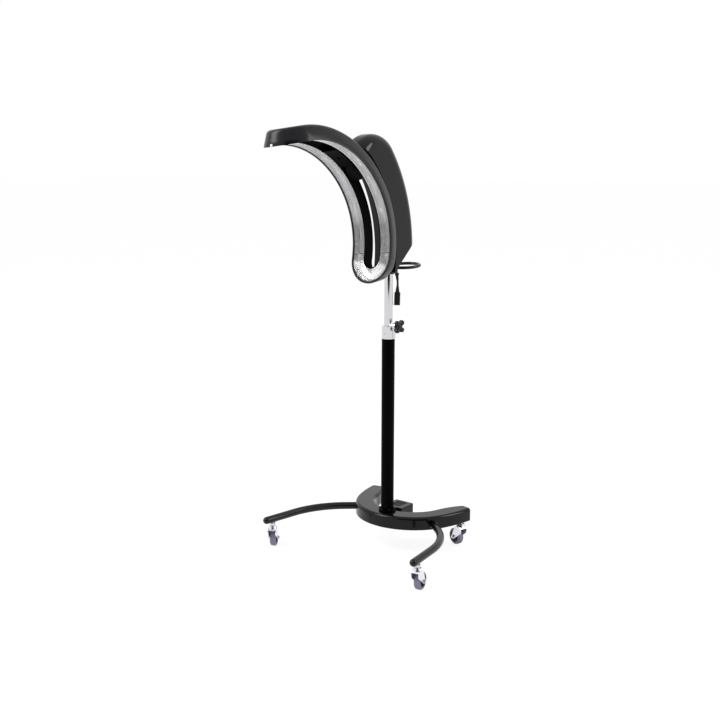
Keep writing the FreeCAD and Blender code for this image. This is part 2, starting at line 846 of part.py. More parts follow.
def slot_wall_at(radius):
    """Half-width of the slot at a distance from the head centre."""
    lip = halo_rim_radius + slot_lip_recess
    share = (radius - lip) / (halo_back_radius - lip)
    return slot_half_width + share * (slot_back_half_width - slot_half_width)


def side_wall_at(radius):
    """Outer half-width of the shell at a distance from the head centre."""
    edge = halo_rim_radius + halo_lip_height
    share = (radius - edge) / (halo_back_radius - edge)
    return halo_half_width + share * (halo_back_half_width - halo_half_width)


def halo_shell():
    """Trough with a flared outer wall, a turned-in lip and a drafted slot wall, open to the head."""
    rim = halo_rim_radius
    edge = rim + halo_lip_height
    seat = rim + halo_lip_thickness
    slot_lip = rim + slot_lip_recess
    inside = halo_back_radius - halo_wall
    section = [
        (halo_half_width, rim, 0),
        (halo_half_width, edge, 0),
        (halo_back_half_width, halo_back_radius, halo_corner),
        (slot_back_half_width, halo_back_radius, slot_rounding),
        (slot_half_width, slot_lip, 0),
        (slot_half_width + halo_wall, slot_lip, 0),
        (slot_wall_at(inside) + halo_wall, inside, 0),
        (side_wall_at(inside) - halo_wall, inside, halo_corner - halo_wall),
        (halo_half_width - halo_wall, edge, 0),
        (halo_half_width - halo_wall, seat, 0),
        (halo_half_width - halo_lip, seat, 0),
        (halo_half_width - halo_lip, rim, 0),
    ]
    return racetrack(section)


def ribbon(points, thickness):
    """Thin closed outline along a polyline, on its left side."""
    inner = []
    for index, (y, r) in enumerate(points):
        before = points[max(index - 1, 0)]
        after = points[min(index + 1, len(points) - 1)]
        along = math.hypot(after[0] - before[0], after[1] - before[1])
        across = thickness / along
        inner.append((y - (after[1] - before[1]) * across, r + (after[0] - before[0]) * across))
    return [(y, r, 0) for y, r in list(points) + inner[::-1]]


def halo_reflector():
    """Bright stepped trough that lies inside the shell."""
    top = halo_rim_radius + halo_lip_thickness + seat_gap + reflector_thickness
    outer = halo_half_width - halo_wall - reflector_clearance
    slot_lip = halo_rim_radius + slot_lip_recess
    inner = slot_half_width + halo_wall + reflector_clearance
    floor = halo_rim_radius + reflector_depth
    step = reflector_step
    line = [(outer, top), (outer - step, floor - 2 * step), (outer - 2 * step, floor - step),
            (outer - 3 * step, floor), (inner + 3 * step, floor), (inner + 2 * step, floor - step),
            (inner + step, floor - 2 * step), (inner, slot_lip)]
    return racetrack(ribbon(line, reflector_thickness))


def guard_radius_at(y):
    """Radius of the guard's middle, which slopes from the rim down to the slot's lip."""
    outer = guard_first_wire + (guard_wire_count - 1) * guard_wire_pitch
    share = (outer - y) / (outer - guard_first_wire)
    return halo_rim_radius + guard_depth + share * guard_slope


def guard_wire_section(y):
    half = guard_wire / 2
    middle_radius = guard_radius_at(y)
    return [(y - half, middle_radius - half, 0), (y + half, middle_radius - half, 0),
            (y + half, middle_radius + half, 0), (y - half, middle_radius + half, 0)]


def halo_guard():
    """Long guard wires that follow the halo, with flat cross bars welded behind them."""
    wires = [racetrack(guard_wire_section(guard_first_wire + index * guard_wire_pitch))
             for index in range(guard_wire_count)]
    inner = guard_first_wire - guard_bar_inner_end
    outer = guard_first_wire + (guard_wire_count - 1) * guard_wire_pitch + guard_bar_outer_end
    sink = guard_wire / 2 - guard_weld
    bars = []
    for index in range(guard_bar_count):
        angle = orbit_angle - halo_half_angle + index * 2 * halo_half_angle / (guard_bar_count - 1)
        width = math.degrees(guard_bar_width / halo_rim_radius)
        near = guard_radius_at(inner) + sink
        far = guard_radius_at(outer) + sink
        section = [(inner, near, 0), (outer, far, 0), (outer, far + guard_bar_thickness, 0),
                   (inner, near + guard_bar_thickness, 0)]
        bar = turned(rail_face(section, angle - width / 2), head_centre, Y * -1, width)
        bars += [bar, mirrored(bar)]
    return wires[0].fuse(wires[1:] + bars)


def heater_ends():
    reach = halo_half_angle - heater_end_angle
    return orbit_angle - reach, orbit_angle + reach


def heater_tubes():
    """One bent quartz tube along each rail."""
    low, high = heater_ends()
    centre = halo_point(halo_rim_radius + heater_depth, low, heater_offset)
    circle = Part.Face(Part.Wire(Part.makeCircle(heater_radius, centre, Y.cross(radial(low)))))
    right_tube = turned(circle, head_centre, Y * -1, high - low)
    return Part.makeCompound([right_tube, mirrored(right_tube)])


def heater_caps():
    """Ceramic sockets at the ends of the heater tubes, standing on the reflector."""
    low, high = heater_ends()
    floor = halo_rim_radius + reflector_depth - reflector_thickness - seat_gap
    caps = []
    for side in (1, -1):
        for start, end in ((low - heater_cap_angle, low), (high, high + heater_cap_angle)):
            cap = sector(halo_rim_radius + heater_depth - heater_cap_radius, floor, start, end,
                         heater_cap_radius, halo_point)
            cap.translate(Y * side * heater_offset)
            caps.append(cap)
    return Part.makeCompound(caps)


# ---------------------------------------------------------------- orbit drive
def hub_cap():
    """Stepped round cap that closes the middle of the slot."""
    face = halo_point(hub_cap_face_radius, orbit_angle)
    bevel = Part.makeCone(hub_cap_radius - hub_cap_bevel, hub_cap_radius, hub_cap_bevel, face, orbit_direction)
    drum = orbit_rod(hub_cap_face_radius + hub_cap_bevel, hub_cap_face_radius + hub_cap_thickness,
                     hub_cap_radius)
    cap = fused([bevel, drum])
    for outer in hub_groove_radii:
        cap = cap.cut(orbit_tube(hub_cap_face_radius - 1, hub_cap_face_radius + hub_groove_depth,
                                 outer, outer - hub_groove_width))
    return cap


def hub_carrier():
    """Plate across the back of the halo with a boss through the slot."""
    back = halo_back_radius + seat_gap
    plate_end = back + carrier_thickness
    boss_start = hub_cap_face_radius + hub_cap_thickness
    plate = tilted_block(head_centre, orbit_angle, back, plate_end, carrier_half_length, carrier_half_width)
    corners = edges_where(plate, lambda e: abs(e.Length - carrier_thickness) < 0.01)
    plate = plate.makeFillet(carrier_corner, corners)
    boss = orbit_rod(boss_start, back + 1, hub_boss_outer)
    neck = orbit_rod(back, plate_end + carrier_neck_height, orbit_shaft_radius + carrier_neck_wall)
    carrier = fused([plate, boss, neck])
    return carrier.cut(orbit_rod(boss_start + shaft_seat_depth / 2, plate_end + 2 * carrier_neck_height,
                                 orbit_shaft_radius))


def orbit_shaft():
    start = hub_cap_face_radius + hub_cap_thickness + shaft_seat_depth / 2
    return orbit_rod(start, motor_plate_radius + motor_plate_thickness + shaft_overrun, orbit_shaft_radius)


def sensor_block():
    """Sensor housing that bridges the slot above the hub."""
    angle = orbit_angle + sensor_angle
    outer = halo_back_radius - sensor_back_recess
    lip_width = slot_half_width - sensor_gap
    back_width = slot_wall_at(outer) - sensor_gap
    section = [(-lip_width, sensor_face_radius, sensor_rounding),
               (lip_width, sensor_face_radius, sensor_rounding),
               (back_width, outer, 0),
               (-back_width, outer, 0)]
    start = rail_face(section, angle - sensor_half_angle)
    body = turned(start, head_centre, Y * -1, 2 * sensor_half_angle)
    eye = rod(halo_point(sensor_face_radius - 1, angle),
              halo_point(sensor_face_radius + sensor_eye_depth, angle), sensor_eye_radius)
    return body.cut(eye)


def hub_bearings():
    last = motor_plate_radius + motor_plate_thickness - bearing_width
    bore = orbit_shaft_radius + running_clearance
    rings = [orbit_tube(start, start + bearing_width, bearing_outer_radius, bore)
             for start in (motor_plate_radius, last)]
    return Part.makeCompound(rings)


def slip_ring():
    start = motor_plate_radius + motor_plate_thickness + seat_gap
    return orbit_tube(start, start + slip_ring_width, slip_ring_radius, orbit_shaft_radius + running_clearance)


def gear_motor():
    """Gear motor behind the slip ring, on the orbit axis."""
    start = motor_plate_radius + motor_plate_thickness + slip_ring_width + 2 * seat_gap
    drum = orbit_rod(start, start + motor_length, motor_radius)
    return drum.cut(orbit_rod(start - 1, start + motor_recess, orbit_shaft_radius + 1))


# ---------------------------------------------------------------- head housing
def housing_profile(inset):
    """Side outline: two arcs about the housing centre, a round nose and a slanted foot."""
    face_r = housing_face_radius + inset
    back_r = housing_back_radius - inset
    nose_r = housing_nose_radius - inset
    nose_offset = housing_back_radius - housing_nose_radius
    nose_centre = housing_point(nose_offset, housing_nose_angle)
    lean = (face_r ** 2 + nose_offset ** 2 - nose_r ** 2) / (2 * face_r * nose_offset)
    spread = math.degrees(math.acos(lean))
    top_angle = housing_nose_angle + spread
    top = housing_point(face_r, top_angle)
    nose_start = housing_point(back_r, housing_nose_angle)
    start_dir = nose_start - nose_centre
    end_dir = top - nose_centre
    start_angle = math.atan2(start_dir.z, start_dir.x)
    end_angle = math.atan2(end_dir.z, end_dir.x)
    mid_angle = (start_angle + end_angle) / 2
    nose_mid = nose_centre + Vector(math.cos(mid_angle), 0, math.sin(mid_angle)) * nose_r
    cut = math.radians(housing_cut_angle)
    normal = Vector(math.sin(cut), 0, -math.cos(cut))
    on_cut = Vector(housing_cut_x, 0, head_height + housing_cut_rise) - normal * inset

    def cut_meets(radius):
        """Angle about the housing centre at which the slanted foot meets a radius."""
        gap = (on_cut - housing_centre).dot(normal)
        base = math.atan2(normal.z, normal.x)
        return math.degrees(base + math.acos(gap / radius))
    low_back = cut_meets(back_r)
    low_face = cut_meets(face_r)
    return Part.Wire([
        Part.Arc(housing_point(back_r, low_back), housing_point(back_r, (low_back + housing_nose_angle) / 2),
                 nose_start).toShape(),
        Part.Arc(nose_start, nose_mid, top).toShape(),
        Part.Arc(top, housing_point(face_r, (top_angle + low_face) / 2),
                 housing_point(face_r, low_face)).toShape(),
        Part.makeLine(housing_point(face_r, low_face), housing_point(back_r, low_back)),
    ])


def housing_solid(inset):
    face = Part.Face(housing_profile(inset))
    half = housing_half_width - inset
    face.translate(Vector(0, -half, 0))
    return face.extrude(Vector(0, 2 * half, 0))


def rounded_housing(inset):
    """Housing body with broadly rounded back and nose edges."""
    body = housing_solid(inset)
    halfway = (housing_face_radius + housing_back_radius) / 2
    back = edges_where(body, lambda e: e.Curve.TypeId == "Part::GeomCircle"
                       and (middle(e) - housing_centre).Length > halfway)
    return body.makeFillet(housing_back_rounding - inset, back)


def housing_shell():
    """Whole housing skin, before it is parted."""
    shell = rounded_housing(0).cut(rounded_housing(housing_wall))
    shell = shell.cut(rod(Vector(0, 0, bracket_bottom), Vector(0, 0, mast_top), mast_radius + seat_gap))
    return shell.cut(orbit_rod(halo_back_radius, motor_plate_radius, orbit_shaft_radius + 1))


def panel_window():
    """Solid that parts the rear panel from the housing."""
    return sector(housing_back_radius - panel_depth, housing_back_radius + 20, panel_bottom_angle,
                  panel_top_angle, housing_half_width + 10, housing_point)


def housing_half(side):
    shell = housing_shell()
    gap = math.degrees(panel_gap / housing_back_radius)
    opening = sector(housing_back_radius - panel_depth - panel_gap, housing_back_radius + 20,
                     panel_bottom_angle - gap, panel_top_angle + gap, housing_half_width + 10, housing_point)
    shell = shell.cut(opening)
    box = shell.BoundBox
    edge = side * (housing_half_width + 1)
    return shell.common(block(box.XMin - 1, box.XMax + 1, min(edge, 0), max(edge, 0),
                              box.ZMin - 1, box.ZMax + 1))


def rear_panel():
    """Operator's panel: curved back wall with side returns, window recess and button holes."""
    outer = rounded_housing(0).common(panel_window())
    end_wall = math.degrees(housing_wall / housing_back_radius)
    hollow = sector(housing_back_radius - 2 * panel_depth, housing_back_radius,
                    panel_bottom_angle + end_wall, panel_top_angle - end_wall,
                    housing_half_width, housing_point)
    panel = outer.cut(rounded_housing(housing_wall).common(hollow))
    for angle in button_angles:
        panel = panel.cut(button_rod(housing_back_radius - panel_depth, housing_back_radius + 1,
                                     button_radius + button_clearance, angle))
    return panel.cut(window_block(0).cut(rounded_housing(window_thickness))).cut(window_block(window_ledge))


def window_block(inset):
    """Block through the panel over the display, drawn in from its outline."""
    half_angle = window_half_angle - math.degrees(inset / housing_back_radius)
    return sector(housing_back_radius - panel_depth, housing_back_radius + 1, window_angle - half_angle,
                  window_angle + half_angle, window_half_width - inset, housing_point)


def display_window():
    """Clear pane that follows the panel's rounded skin."""
    skin = rounded_housing(0).cut(rounded_housing(window_thickness))
    return window_block(running_clearance).common(skin)


def panel_button(angle):
    """Round push button with a keeper flange and a plunger down to its switch."""
    under_wall = housing_back_radius - housing_wall - button_wall_gap
    cap = button_rod(under_wall - button_flange, housing_back_radius + button_proud, button_radius, angle)
    cap = cap.makeFillet(button_rounding, edges_where(cap, lambda e: e.Curve.TypeId == "Part::GeomCircle" and
                                          (middle(e) - housing_centre).Length > housing_back_radius))
    flange = button_rod(under_wall - button_flange, under_wall, button_flange_radius, angle)
    lean = math.radians(abs(angle - board_angle))
    on_board = (board_radius + board_thickness) / math.cos(lean) + button_stem_radius * math.tan(lean)
    switch_face = on_board + switch_height + button_travel
    stem = button_rod(switch_face, under_wall - 1, button_stem_radius, angle)
    return fused([cap, flange, stem])


def control_board():
    """Circuit board under the buttons and the window, on posts of the chassis."""
    return tilted_block(housing_centre, board_angle, board_radius, board_radius + board_thickness,
                        board_half_length, board_half_width)


def head_chassis():
    """Inner frame: mast socket, two cheeks and the plate that carries the hub bearings."""
    face = housing_face_radius + housing_wall + chassis_face_gap
    cheek_middle = chassis_half_width + chassis_plate / 2
    outer_width = chassis_half_width + chassis_plate
    plate_back = motor_plate_radius + motor_plate_thickness
    bay = orbit_rod(plate_back, housing_back_radius, motor_radius + motor_bay_clearance)
    socket = block(socket_front_x, socket_rear_x, -outer_width, outer_width,
                   head_height - socket_drop, mast_top)
    plate = tilted_block(head_centre, orbit_angle, motor_plate_radius, plate_back,
                         motor_plate_half_length, outer_width)
    along_board = radial(board_angle + 90)
    shapes = [socket, plate]
    for side in (1, -1):
        cheek = sector(face, housing_back_radius - chassis_back_gap, chassis_bottom_angle, chassis_top_angle,
                       chassis_plate / 2, housing_point)
        cheek.translate(Y * side * cheek_middle)
        shapes.append(cheek.cut(bay))
        for end in (-1, 1):
            post = tilted_block(housing_centre + along_board * end * board_post_spread, board_angle,
                                board_radius - board_post_height, board_radius,
                                board_post_half, board_post_half)
            post.translate(Y * side * cheek_middle)
            shapes.append(post)
    chassis = fused(shapes).common(rounded_housing(housing_wall + chassis_clearance))
    chassis = chassis.cut(rod(Vector(0, 0, 0), Vector(0, 0, mast_top + 1), mast_radius))
    return chassis.cut(orbit_rod(motor_plate_radius - 1, plate_back + 1, bearing_outer_radius))


# ---------------------------------------------------------------- rear ring and pigtail
def ring_bracket():
    """Split clamp under the housing with an arm for the ring and the cable gland."""
    top = bracket_bottom + bracket_height
    shapes = [rod(Vector(0, 0, bracket_bottom), Vector(0, 0, top), bracket_radius),
              block(0, bracket_arm_end, -bracket_arm_half_width, bracket_arm_half_width, bracket_bottom, top)]
    bracket = fused(shapes)
    corners = edges_where(bracket, lambda e: e.BoundBox.ZLength > 5 and middle(e).x > bracket_arm_end - 1)
    bracket = bracket.makeFillet(bracket_corner, corners)
    return bracket.cut(rod(Vector(0, 0, bracket_bottom - 1), Vector(0, 0, top + 1), mast_radius))


def rear_ring():
    """Round rear handle with a stub into the bracket."""
    centre = Vector(ring_centre_x, 0, bracket_bottom + ring_rise)
    ring = Part.makeTorus(ring_radius, ring_tube_radius, centre, Z)
    ring.rotate(centre, Vector(0, -1, 0), ring_lift_angle)
    seat = bracket_bottom + bracket_height + seat_gap
    stub = block(ring_stub_start, ring_centre_x - ring_radius, -ring_stub_half_width, ring_stub_half_width,
                 seat, seat + ring_stub_height)
    return fused([ring, stub])


def cable_points():
    """Corners of the lead's route; their last number is the drop below the bracket."""
    return [Vector(x, y, bracket_bottom - drop) for x, y, drop in cable_route]


def cable_gland():
    top = cable_points()[0]
    return tube(top - Z * gland_length, top, gland_radius, gland_bore_radius)


def cable_path():
    """Straight runs joined by tangent arcs, and the arc radii."""
    points = cable_points()
    edges, radii = [], []
    start = points[0]
    for before, corner, after in zip(points, points[1:], points[2:]):
        into = (corner - before).normalize()
        out = (after - corner).normalize()
        half_turn = into.getAngle(out) / 2
        run = min((corner - before).Length, (after - corner).Length)
        radius = 0.45 * run / math.tan(half_turn)
        trim = radius * math.tan(half_turn)
        arc_start = corner - into * trim
        arc_end = corner + out * trim
        bisector = (out - into).normalize()
        through = corner + bisector * (radius / math.cos(half_turn) - radius)
        edges.append(Part.LineSegment(start, arc_start).toShape())
        edges.append(Part.Arc(arc_start, through, arc_end).toShape())
        radii.append(radius)
        start = arc_end
    edges.append(Part.LineSegment(start, points[-1]).toShape())
    return Part.Wire(edges), radii


def pigtail_cable():
    path, radii = cable_path()
    points = cable_points()
    section = Part.Wire(Part.makeCircle(cable_radius, points[0], points[1] - points[0]))
    cable = path.makePipeShell([section], True, False)
    expected = math.pi * cable_radius ** 2 * path.Length
    print("cable radii", [round(r, 1) for r in radii], "volume ratio", round(cable.Volume / expected, 4))
    return cable


def pigtail_connector():
    """Inline appliance inlet: tapered neck and a rounded rectangular body, open below."""
    before, top = cable_points()[-2:]
    run = (top - before).normalize()
    neck = Part.makeCone(cable_radius + connector_neck_step, connector_neck_radius, connector_neck_length,
                         Vector(0, 0, 0), Z)
    body = Part.makeBox(connector_depth, connector_width, connector_length,
                        Vector(-connector_depth / 2, -connector_width / 2, connector_neck_length))
    corners = edges_where(body, lambda e: abs(e.Length - connector_length) < 0.01)
    body = body.makeFillet(connector_corner, corners)
    shoulder = edges_where(body, lambda e: abs(middle(e).z - connector_neck_length) < 0.01)
    body = body.makeFillet(connector_shoulder, shoulder)
    mouth = Part.makeBox(connector_depth - 2 * connector_rim, connector_width - 2 * connector_rim,
                         connector_pin_recess,
                         Vector(-connector_depth / 2 + connector_rim, -connector_width / 2 + connector_rim,
                                connector_neck_length + connector_length - connector_pin_recess))
    connector = fused([neck, body]).cut(mouth)
    connector.Placement = FreeCAD.Placement(top, FreeCAD.Rotation(Z, run))
    return connector


# ---------------------------------------------------------------- assembly
build_castors()
parts["base_cover"] = base_cover()
parts["base_frame"] = base_frame()
parts["leg_left"] = front_leg(1)
parts["leg_right"] = front_leg(-1)
parts["leg_end_caps"] = leg_end_caps()
parts["column_foot"] = column_foot()
parts["foot_screws"] = foot_screws()
parts["column_tube"] = column_tube()
parts["mast_collar"] = mast_collar()
parts["collar_set_screw"] = collar_set_screw()
parts["clamp_pad"] = clamp_pad()
parts["clamp_screw"] = clamp_screw()
parts["clamp_knob"] = clamp_knob()
parts["glide_bush"] = glide_bush()
parts["mast_tube"] = mast_tube()
parts["mast_end_cap"] = mast_end_cap()
parts["head_chassis"] = head_chassis()
parts["housing_left"] = housing_half(1)
parts["housing_right"] = housing_half(-1)
parts["rear_panel"] = rear_panel()
parts["display_window"] = display_window()
parts["control_board"] = control_board()
for number, button_angle in enumerate(button_angles, start=1):
    parts["button_" + str(number)] = panel_button(button_angle)
parts["gear_motor"] = gear_motor()
parts["hub_bearings"] = hub_bearings()
parts["slip_ring"] = slip_ring()
parts["orbit_shaft"] = orbit_shaft()
parts["hub_carrier"] = hub_carrier()
parts["hub_cap"] = hub_cap()
parts["sensor_block"] = sensor_block()
parts["halo_shell"] = halo_shell()
parts["halo_reflector"] = halo_reflector()
parts["halo_guard"] = halo_guard()
parts["heater_tubes"] = heater_tubes()
parts["heater_caps"] = heater_caps()
parts["ring_bracket"] = ring_bracket()
parts["rear_ring"] = rear_ring()
parts["cable_gland"] = cable_gland()
parts["pigtail_cable"] = pigtail_cable()
parts["pigtail_connector"] = pigtail_connector()

# The halo is parked a few degrees round from upright.
for name in ("orbit_shaft", "hub_carrier", "hub_cap", "sensor_block", "halo_shell", "halo_reflector",
             "halo_guard", "heater_tubes", "heater_caps"):
    parts[name].rotate(head_centre, orbit_direction, halo_parking_angle)

os.makedirs("parts", exist_ok=True)
for name, shape in parts.items():
    shape.exportStep("parts/" + name + ".step")
    print(name, "solids", len(shape.Solids), "valid", shape.isValid(), "volume", round(shape.Volume))
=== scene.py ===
"""Hair colour processor: an orbiting infrared halo on a clamped mast and a crescent base with castors."""
import math

import bmesh
import bpy
from mathutils import Matrix, Quaternion, Vector


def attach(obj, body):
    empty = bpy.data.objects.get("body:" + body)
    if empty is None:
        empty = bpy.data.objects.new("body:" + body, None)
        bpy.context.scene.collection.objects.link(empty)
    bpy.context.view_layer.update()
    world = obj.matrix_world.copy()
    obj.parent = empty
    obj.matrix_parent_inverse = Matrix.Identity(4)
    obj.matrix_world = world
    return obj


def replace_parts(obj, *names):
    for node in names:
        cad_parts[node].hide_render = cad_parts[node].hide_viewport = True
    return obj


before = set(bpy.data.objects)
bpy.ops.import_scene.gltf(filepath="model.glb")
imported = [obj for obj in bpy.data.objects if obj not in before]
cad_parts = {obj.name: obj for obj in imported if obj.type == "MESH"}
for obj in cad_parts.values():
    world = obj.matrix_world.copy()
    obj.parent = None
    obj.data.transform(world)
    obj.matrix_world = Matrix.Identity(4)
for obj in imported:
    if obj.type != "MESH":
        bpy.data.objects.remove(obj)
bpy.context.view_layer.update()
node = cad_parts
scene = bpy.context.scene
upward = Vector((0, 0, 1))
sideways = Vector((0, 1, 0))
full_turn = 2 * math.pi

# ---------------------------------------------------------------- camera
# The viewer stands at the front right of the client's place, a little below the top
# of the head, and sees the inside of the halo.
camera_lens = bpy.data.cameras.new("camera")
camera_lens.sensor_width = 36.0
camera_lens.lens = 53.248
camera = bpy.data.objects.new("camera", camera_lens)
camera.location = (-2.42815, -1.81588, 1.15698)
camera.rotation_mode = "QUATERNION"
sight_line = Vector((0.770094, 0.608948, -0.190099))
camera_roll = math.radians(0.071)
camera.rotation_quaternion = sight_line.to_track_quat("-Z", "Y") @ Quaternion((0, 0, 1), camera_roll)
scene.collection.objects.link(camera)
scene.camera = camera

# ---------------------------------------------------------------- pigtail lead
# A short rubber lead hangs from the gland behind the mast and ends in a moulded
# connector for the mains lead.
lead_route = ((0.0320, -0.0055, 0.8210), (0.0320, -0.0055, 0.8130), (0.0342, -0.0070, 0.7970),
              (0.0329, -0.0075, 0.7830))
lead_radius = 0.0030
grain_height = 0.0002
grains_per_patch = 25


def step(tree, kind, settings=None, **inputs):
    """Add a node; an input is a value or the socket that feeds it, and _0 is the first socket."""
    made = tree.nodes.new(kind)
    for key, value in (settings or {}).items():
        setattr(made, key, value)
    for key, value in inputs.items():
        socket = made.inputs[int(key[1:])] if key[0] == "_" else made.inputs[key.replace("_", " ")]
        if isinstance(value, bpy.types.NodeSocket):
            tree.links.new(value, socket)
        else:
            socket.default_value = value
    return made


def surface(name, colour, gloss, grain, relief=0.0, metallic=0.0, tint=0.0, shine=0.5):
    """Finish whose gloss, relief and shade follow a fine grain fixed to the piece."""
    material = bpy.data.materials.new(name)
    material.use_nodes = True
    tree = material.node_tree
    shader = tree.nodes["Principled BSDF"]
    shader.inputs["Base Color"].default_value = (*colour, 1)
    shader.inputs["Metallic"].default_value = metallic
    shader.inputs["Specular IOR Level"].default_value = shine
    place = step(tree, "ShaderNodeTexCoord").outputs["Object"]
    fine = step(tree, "ShaderNodeTexNoise", Vector=place, Scale=grain, Detail=4.0).outputs["Fac"]
    polish = step(tree, "ShaderNodeMapRange", Value=fine, From_Min=0.3, From_Max=0.7,
                  To_Min=gloss[0], To_Max=gloss[1])
    tree.links.new(polish.outputs["Result"], shader.inputs["Roughness"])
    if relief:
        bump = step(tree, "ShaderNodeBump", Strength=relief, Distance=grain_height, Height=fine)
        tree.links.new(bump.outputs["Normal"], shader.inputs["Normal"])
    if tint:
        broad = step(tree, "ShaderNodeTexNoise", Vector=place, Scale=grain / grains_per_patch, Detail=3.0)
        shade = step(tree, "ShaderNodeMix", {"data_type": "RGBA"}, Factor=broad.outputs["Fac"],
                     A=(*(c * (1 - tint) for c in colour), 1), B=(*(c * (1 + tint) for c in colour), 1))
        tree.links.new(shade.outputs["Result"], shader.inputs["Base Color"])
    return material


def dress(material, *names):
    """Give named pieces of the frame their finish."""
    for name in names:
        for slot in node[name].material_slots:
            slot.material = material


lead_rubber = surface("lead_rubber", (0.006, 0.006, 0.007), (0.42, 0.55), 900, relief=0.25, tint=0.15,
                      shine=0.25)
lead_line = bpy.data.curves.new("pigtail_lead", "CURVE")
lead_line.dimensions = "3D"
lead_line.bevel_depth = lead_radius
lead_line.bevel_resolution = 6
lead_line.resolution_u = 24
lead_line.use_fill_caps = True
lead_spline = lead_line.splines.new("NURBS")
lead_spline.points.add(len(lead_route) - 1)
for point, place in zip(lead_spline.points, lead_route):
    point.co = (*place, 1)
lead_spline.order_u = 3
lead_spline.use_endpoint_u = True
lead_line.materials.append(lead_rubber)
pigtail_lead = bpy.data.objects.new("pigtail_lead", lead_line)
scene.collection.objects.link(pigtail_lead)
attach(pigtail_lead, "head")
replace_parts(pigtail_lead, "pigtail_cable")
dress(lead_rubber, "pigtail_connector", "cable_gland")

# The lead's own line, without thickness, gives the places of the ribbed relief sleeve
# that is moulded round it under the gland.
relief_length = 0.021
relief_ribs = 7
relief_top_radius = 0.0050
relief_tip_radius = 0.0036
relief_rib_depth = 0.0004
relief_sides = 20
rings_per_rib = 4


def settled_mesh(holder):
    """New mesh of an object as its bevel or its modifiers leave it."""
    return bpy.data.meshes.new_from_object(holder.evaluated_get(bpy.context.evaluated_depsgraph_get()))


def bare_points(curve_object):
    """Points along a curve with no bevel, from its start."""
    bare = curve_object.data.copy()
    bare.bevel_depth = 0
    holder = bpy.data.objects.new("bare", bare)
    scene.collection.objects.link(holder)
    line = settled_mesh(holder)
    points = [vertex.co.copy() for vertex in line.vertices]
    bpy.data.objects.remove(holder)
    bpy.data.curves.remove(bare)
    bpy.data.meshes.remove(line)
    return points


def new_piece(name, mesh, body, slot_name, *materials):
    """Object for a finished mesh, with its finishes, that rides on a body."""
    for material in materials:
        mesh.materials.append(material)
    piece = bpy.data.objects.new(name, mesh)
    scene.collection.objects.link(piece)
    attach(piece, body)
    return piece


def rings_mesh(name, rings, smooth=True):
    """Closed skin through rings of equally many points, with both ends capped."""
    mesh = bpy.data.meshes.new(name)
    count = len(rings[0])
    corners = [point for ring in rings for point in ring]
    faces = []
    for row in range(len(rings) - 1):
        for column in range(count):
            ahead = (column + 1) % count
            faces.append((row * count + column, row * count + ahead,
                          (row + 1) * count + ahead, (row + 1) * count + column))
    faces.append(tuple(range(count))[::-1])
    faces.append(tuple(range((len(rings) - 1) * count, len(rings) * count)))
    mesh.from_pydata(corners, [], faces)
    shape = bmesh.new()
    shape.from_mesh(mesh)
    bmesh.ops.recalc_face_normals(shape, faces=shape.faces)
    for face in shape.faces:
        face.smooth = smooth and len(face.verts) == 4
    shape.to_mesh(mesh)
    shape.free()
    return mesh


def ring_round(centre, along, radius, sides):
    """Circle of points square to a direction."""
    turn = along.to_track_quat("Z", "Y")
    angles = [full_turn * i / sides for i in range(sides)]
    return [centre + turn @ Vector((math.cos(a) * radius, math.sin(a) * radius, 0)) for a in angles]


def on_crest(index):
    """Whether a ring of a ribbed moulding lies on top of its rib."""
    return index % rings_per_rib in (1, 2)


relief_rings = []
lead_points = bare_points(pigtail_lead)
relief_steps = relief_ribs * rings_per_rib
for index in range(relief_steps + 1):
    share = index / relief_steps
    reach = share * relief_length
    travelled = 0.0
    for before, after in zip(lead_points, lead_points[1:]):
        run = (after - before).length
        if travelled + run >= reach:
            break
        travelled += run
    centre = before.lerp(after, (reach - travelled) / run)
    rib = relief_rib_depth * (1 if on_crest(index) else -1)
    radius = relief_top_radius + (relief_tip_radius - relief_top_radius) * share + rib * (1 - share)
    relief_rings.append(ring_round(centre, (after - before).normalized(), radius, relief_sides))
new_piece("relief_sleeve", rings_mesh("relief_sleeve", relief_rings), "head", "rubber_black", lead_rubber)

# ---------------------------------------------------------------- castors
# Die-cast forks in bright zinc turn on ball races under a hexagon nut; each carries a
# ribbed wheel core with a soft grey tyre on a bolted axle.
wheel_centre_height = 0.025
castor_trail = 0.019
fork_half_width = 0.0146
rib_count = 6
rib_middle = 0.0115
rib_half_length = 0.004
rib_half_width = 0.0009
rib_foot, rib_top = 0.0030, 0.0068
square = ((-1, -1), (1, -1), (1, 1), (-1, 1))
nut_sides = 6
axle_nut_profile = [(0.0048, 0), (0.0048, 0.0026), (0.0041, 0.0032), (0.0026, 0.0032), (0.0024, 0.0042),
                    (0.0012, 0.0046)]
stem_nut_profile = [(0.0082, 0), (0.0086, 0.0008), (0.0086, 0.0038), (0.0082, 0.0044)]
stem_nut_height = 0.0705
castors = {"front_left": (-0.217, 0.264, 32), "front_right": (-0.217, -0.264, 10),
           "rear_left": (0.146, 0.166, 35), "rear_right": (0.146, -0.166, 72)}

zinc_plate = surface("zinc_plate", (0.80, 0.80, 0.86), (0.20, 0.36), 500, relief=0.10, metallic=1.0,
                     tint=0.10)
axle_steel = surface("axle_steel", (0.55, 0.55, 0.57), (0.2, 0.32), 900, relief=0.08, metallic=1.0)
wheel_core = surface("wheel_core", (0.055, 0.055, 0.065), (0.35, 0.5), 700, relief=0.2, tint=0.15, shine=0.4)
tyre_rubber = surface("tyre_rubber", (0.24, 0.232, 0.31), (0.45, 0.6), 650, relief=0.3, tint=0.14, shine=0.3)


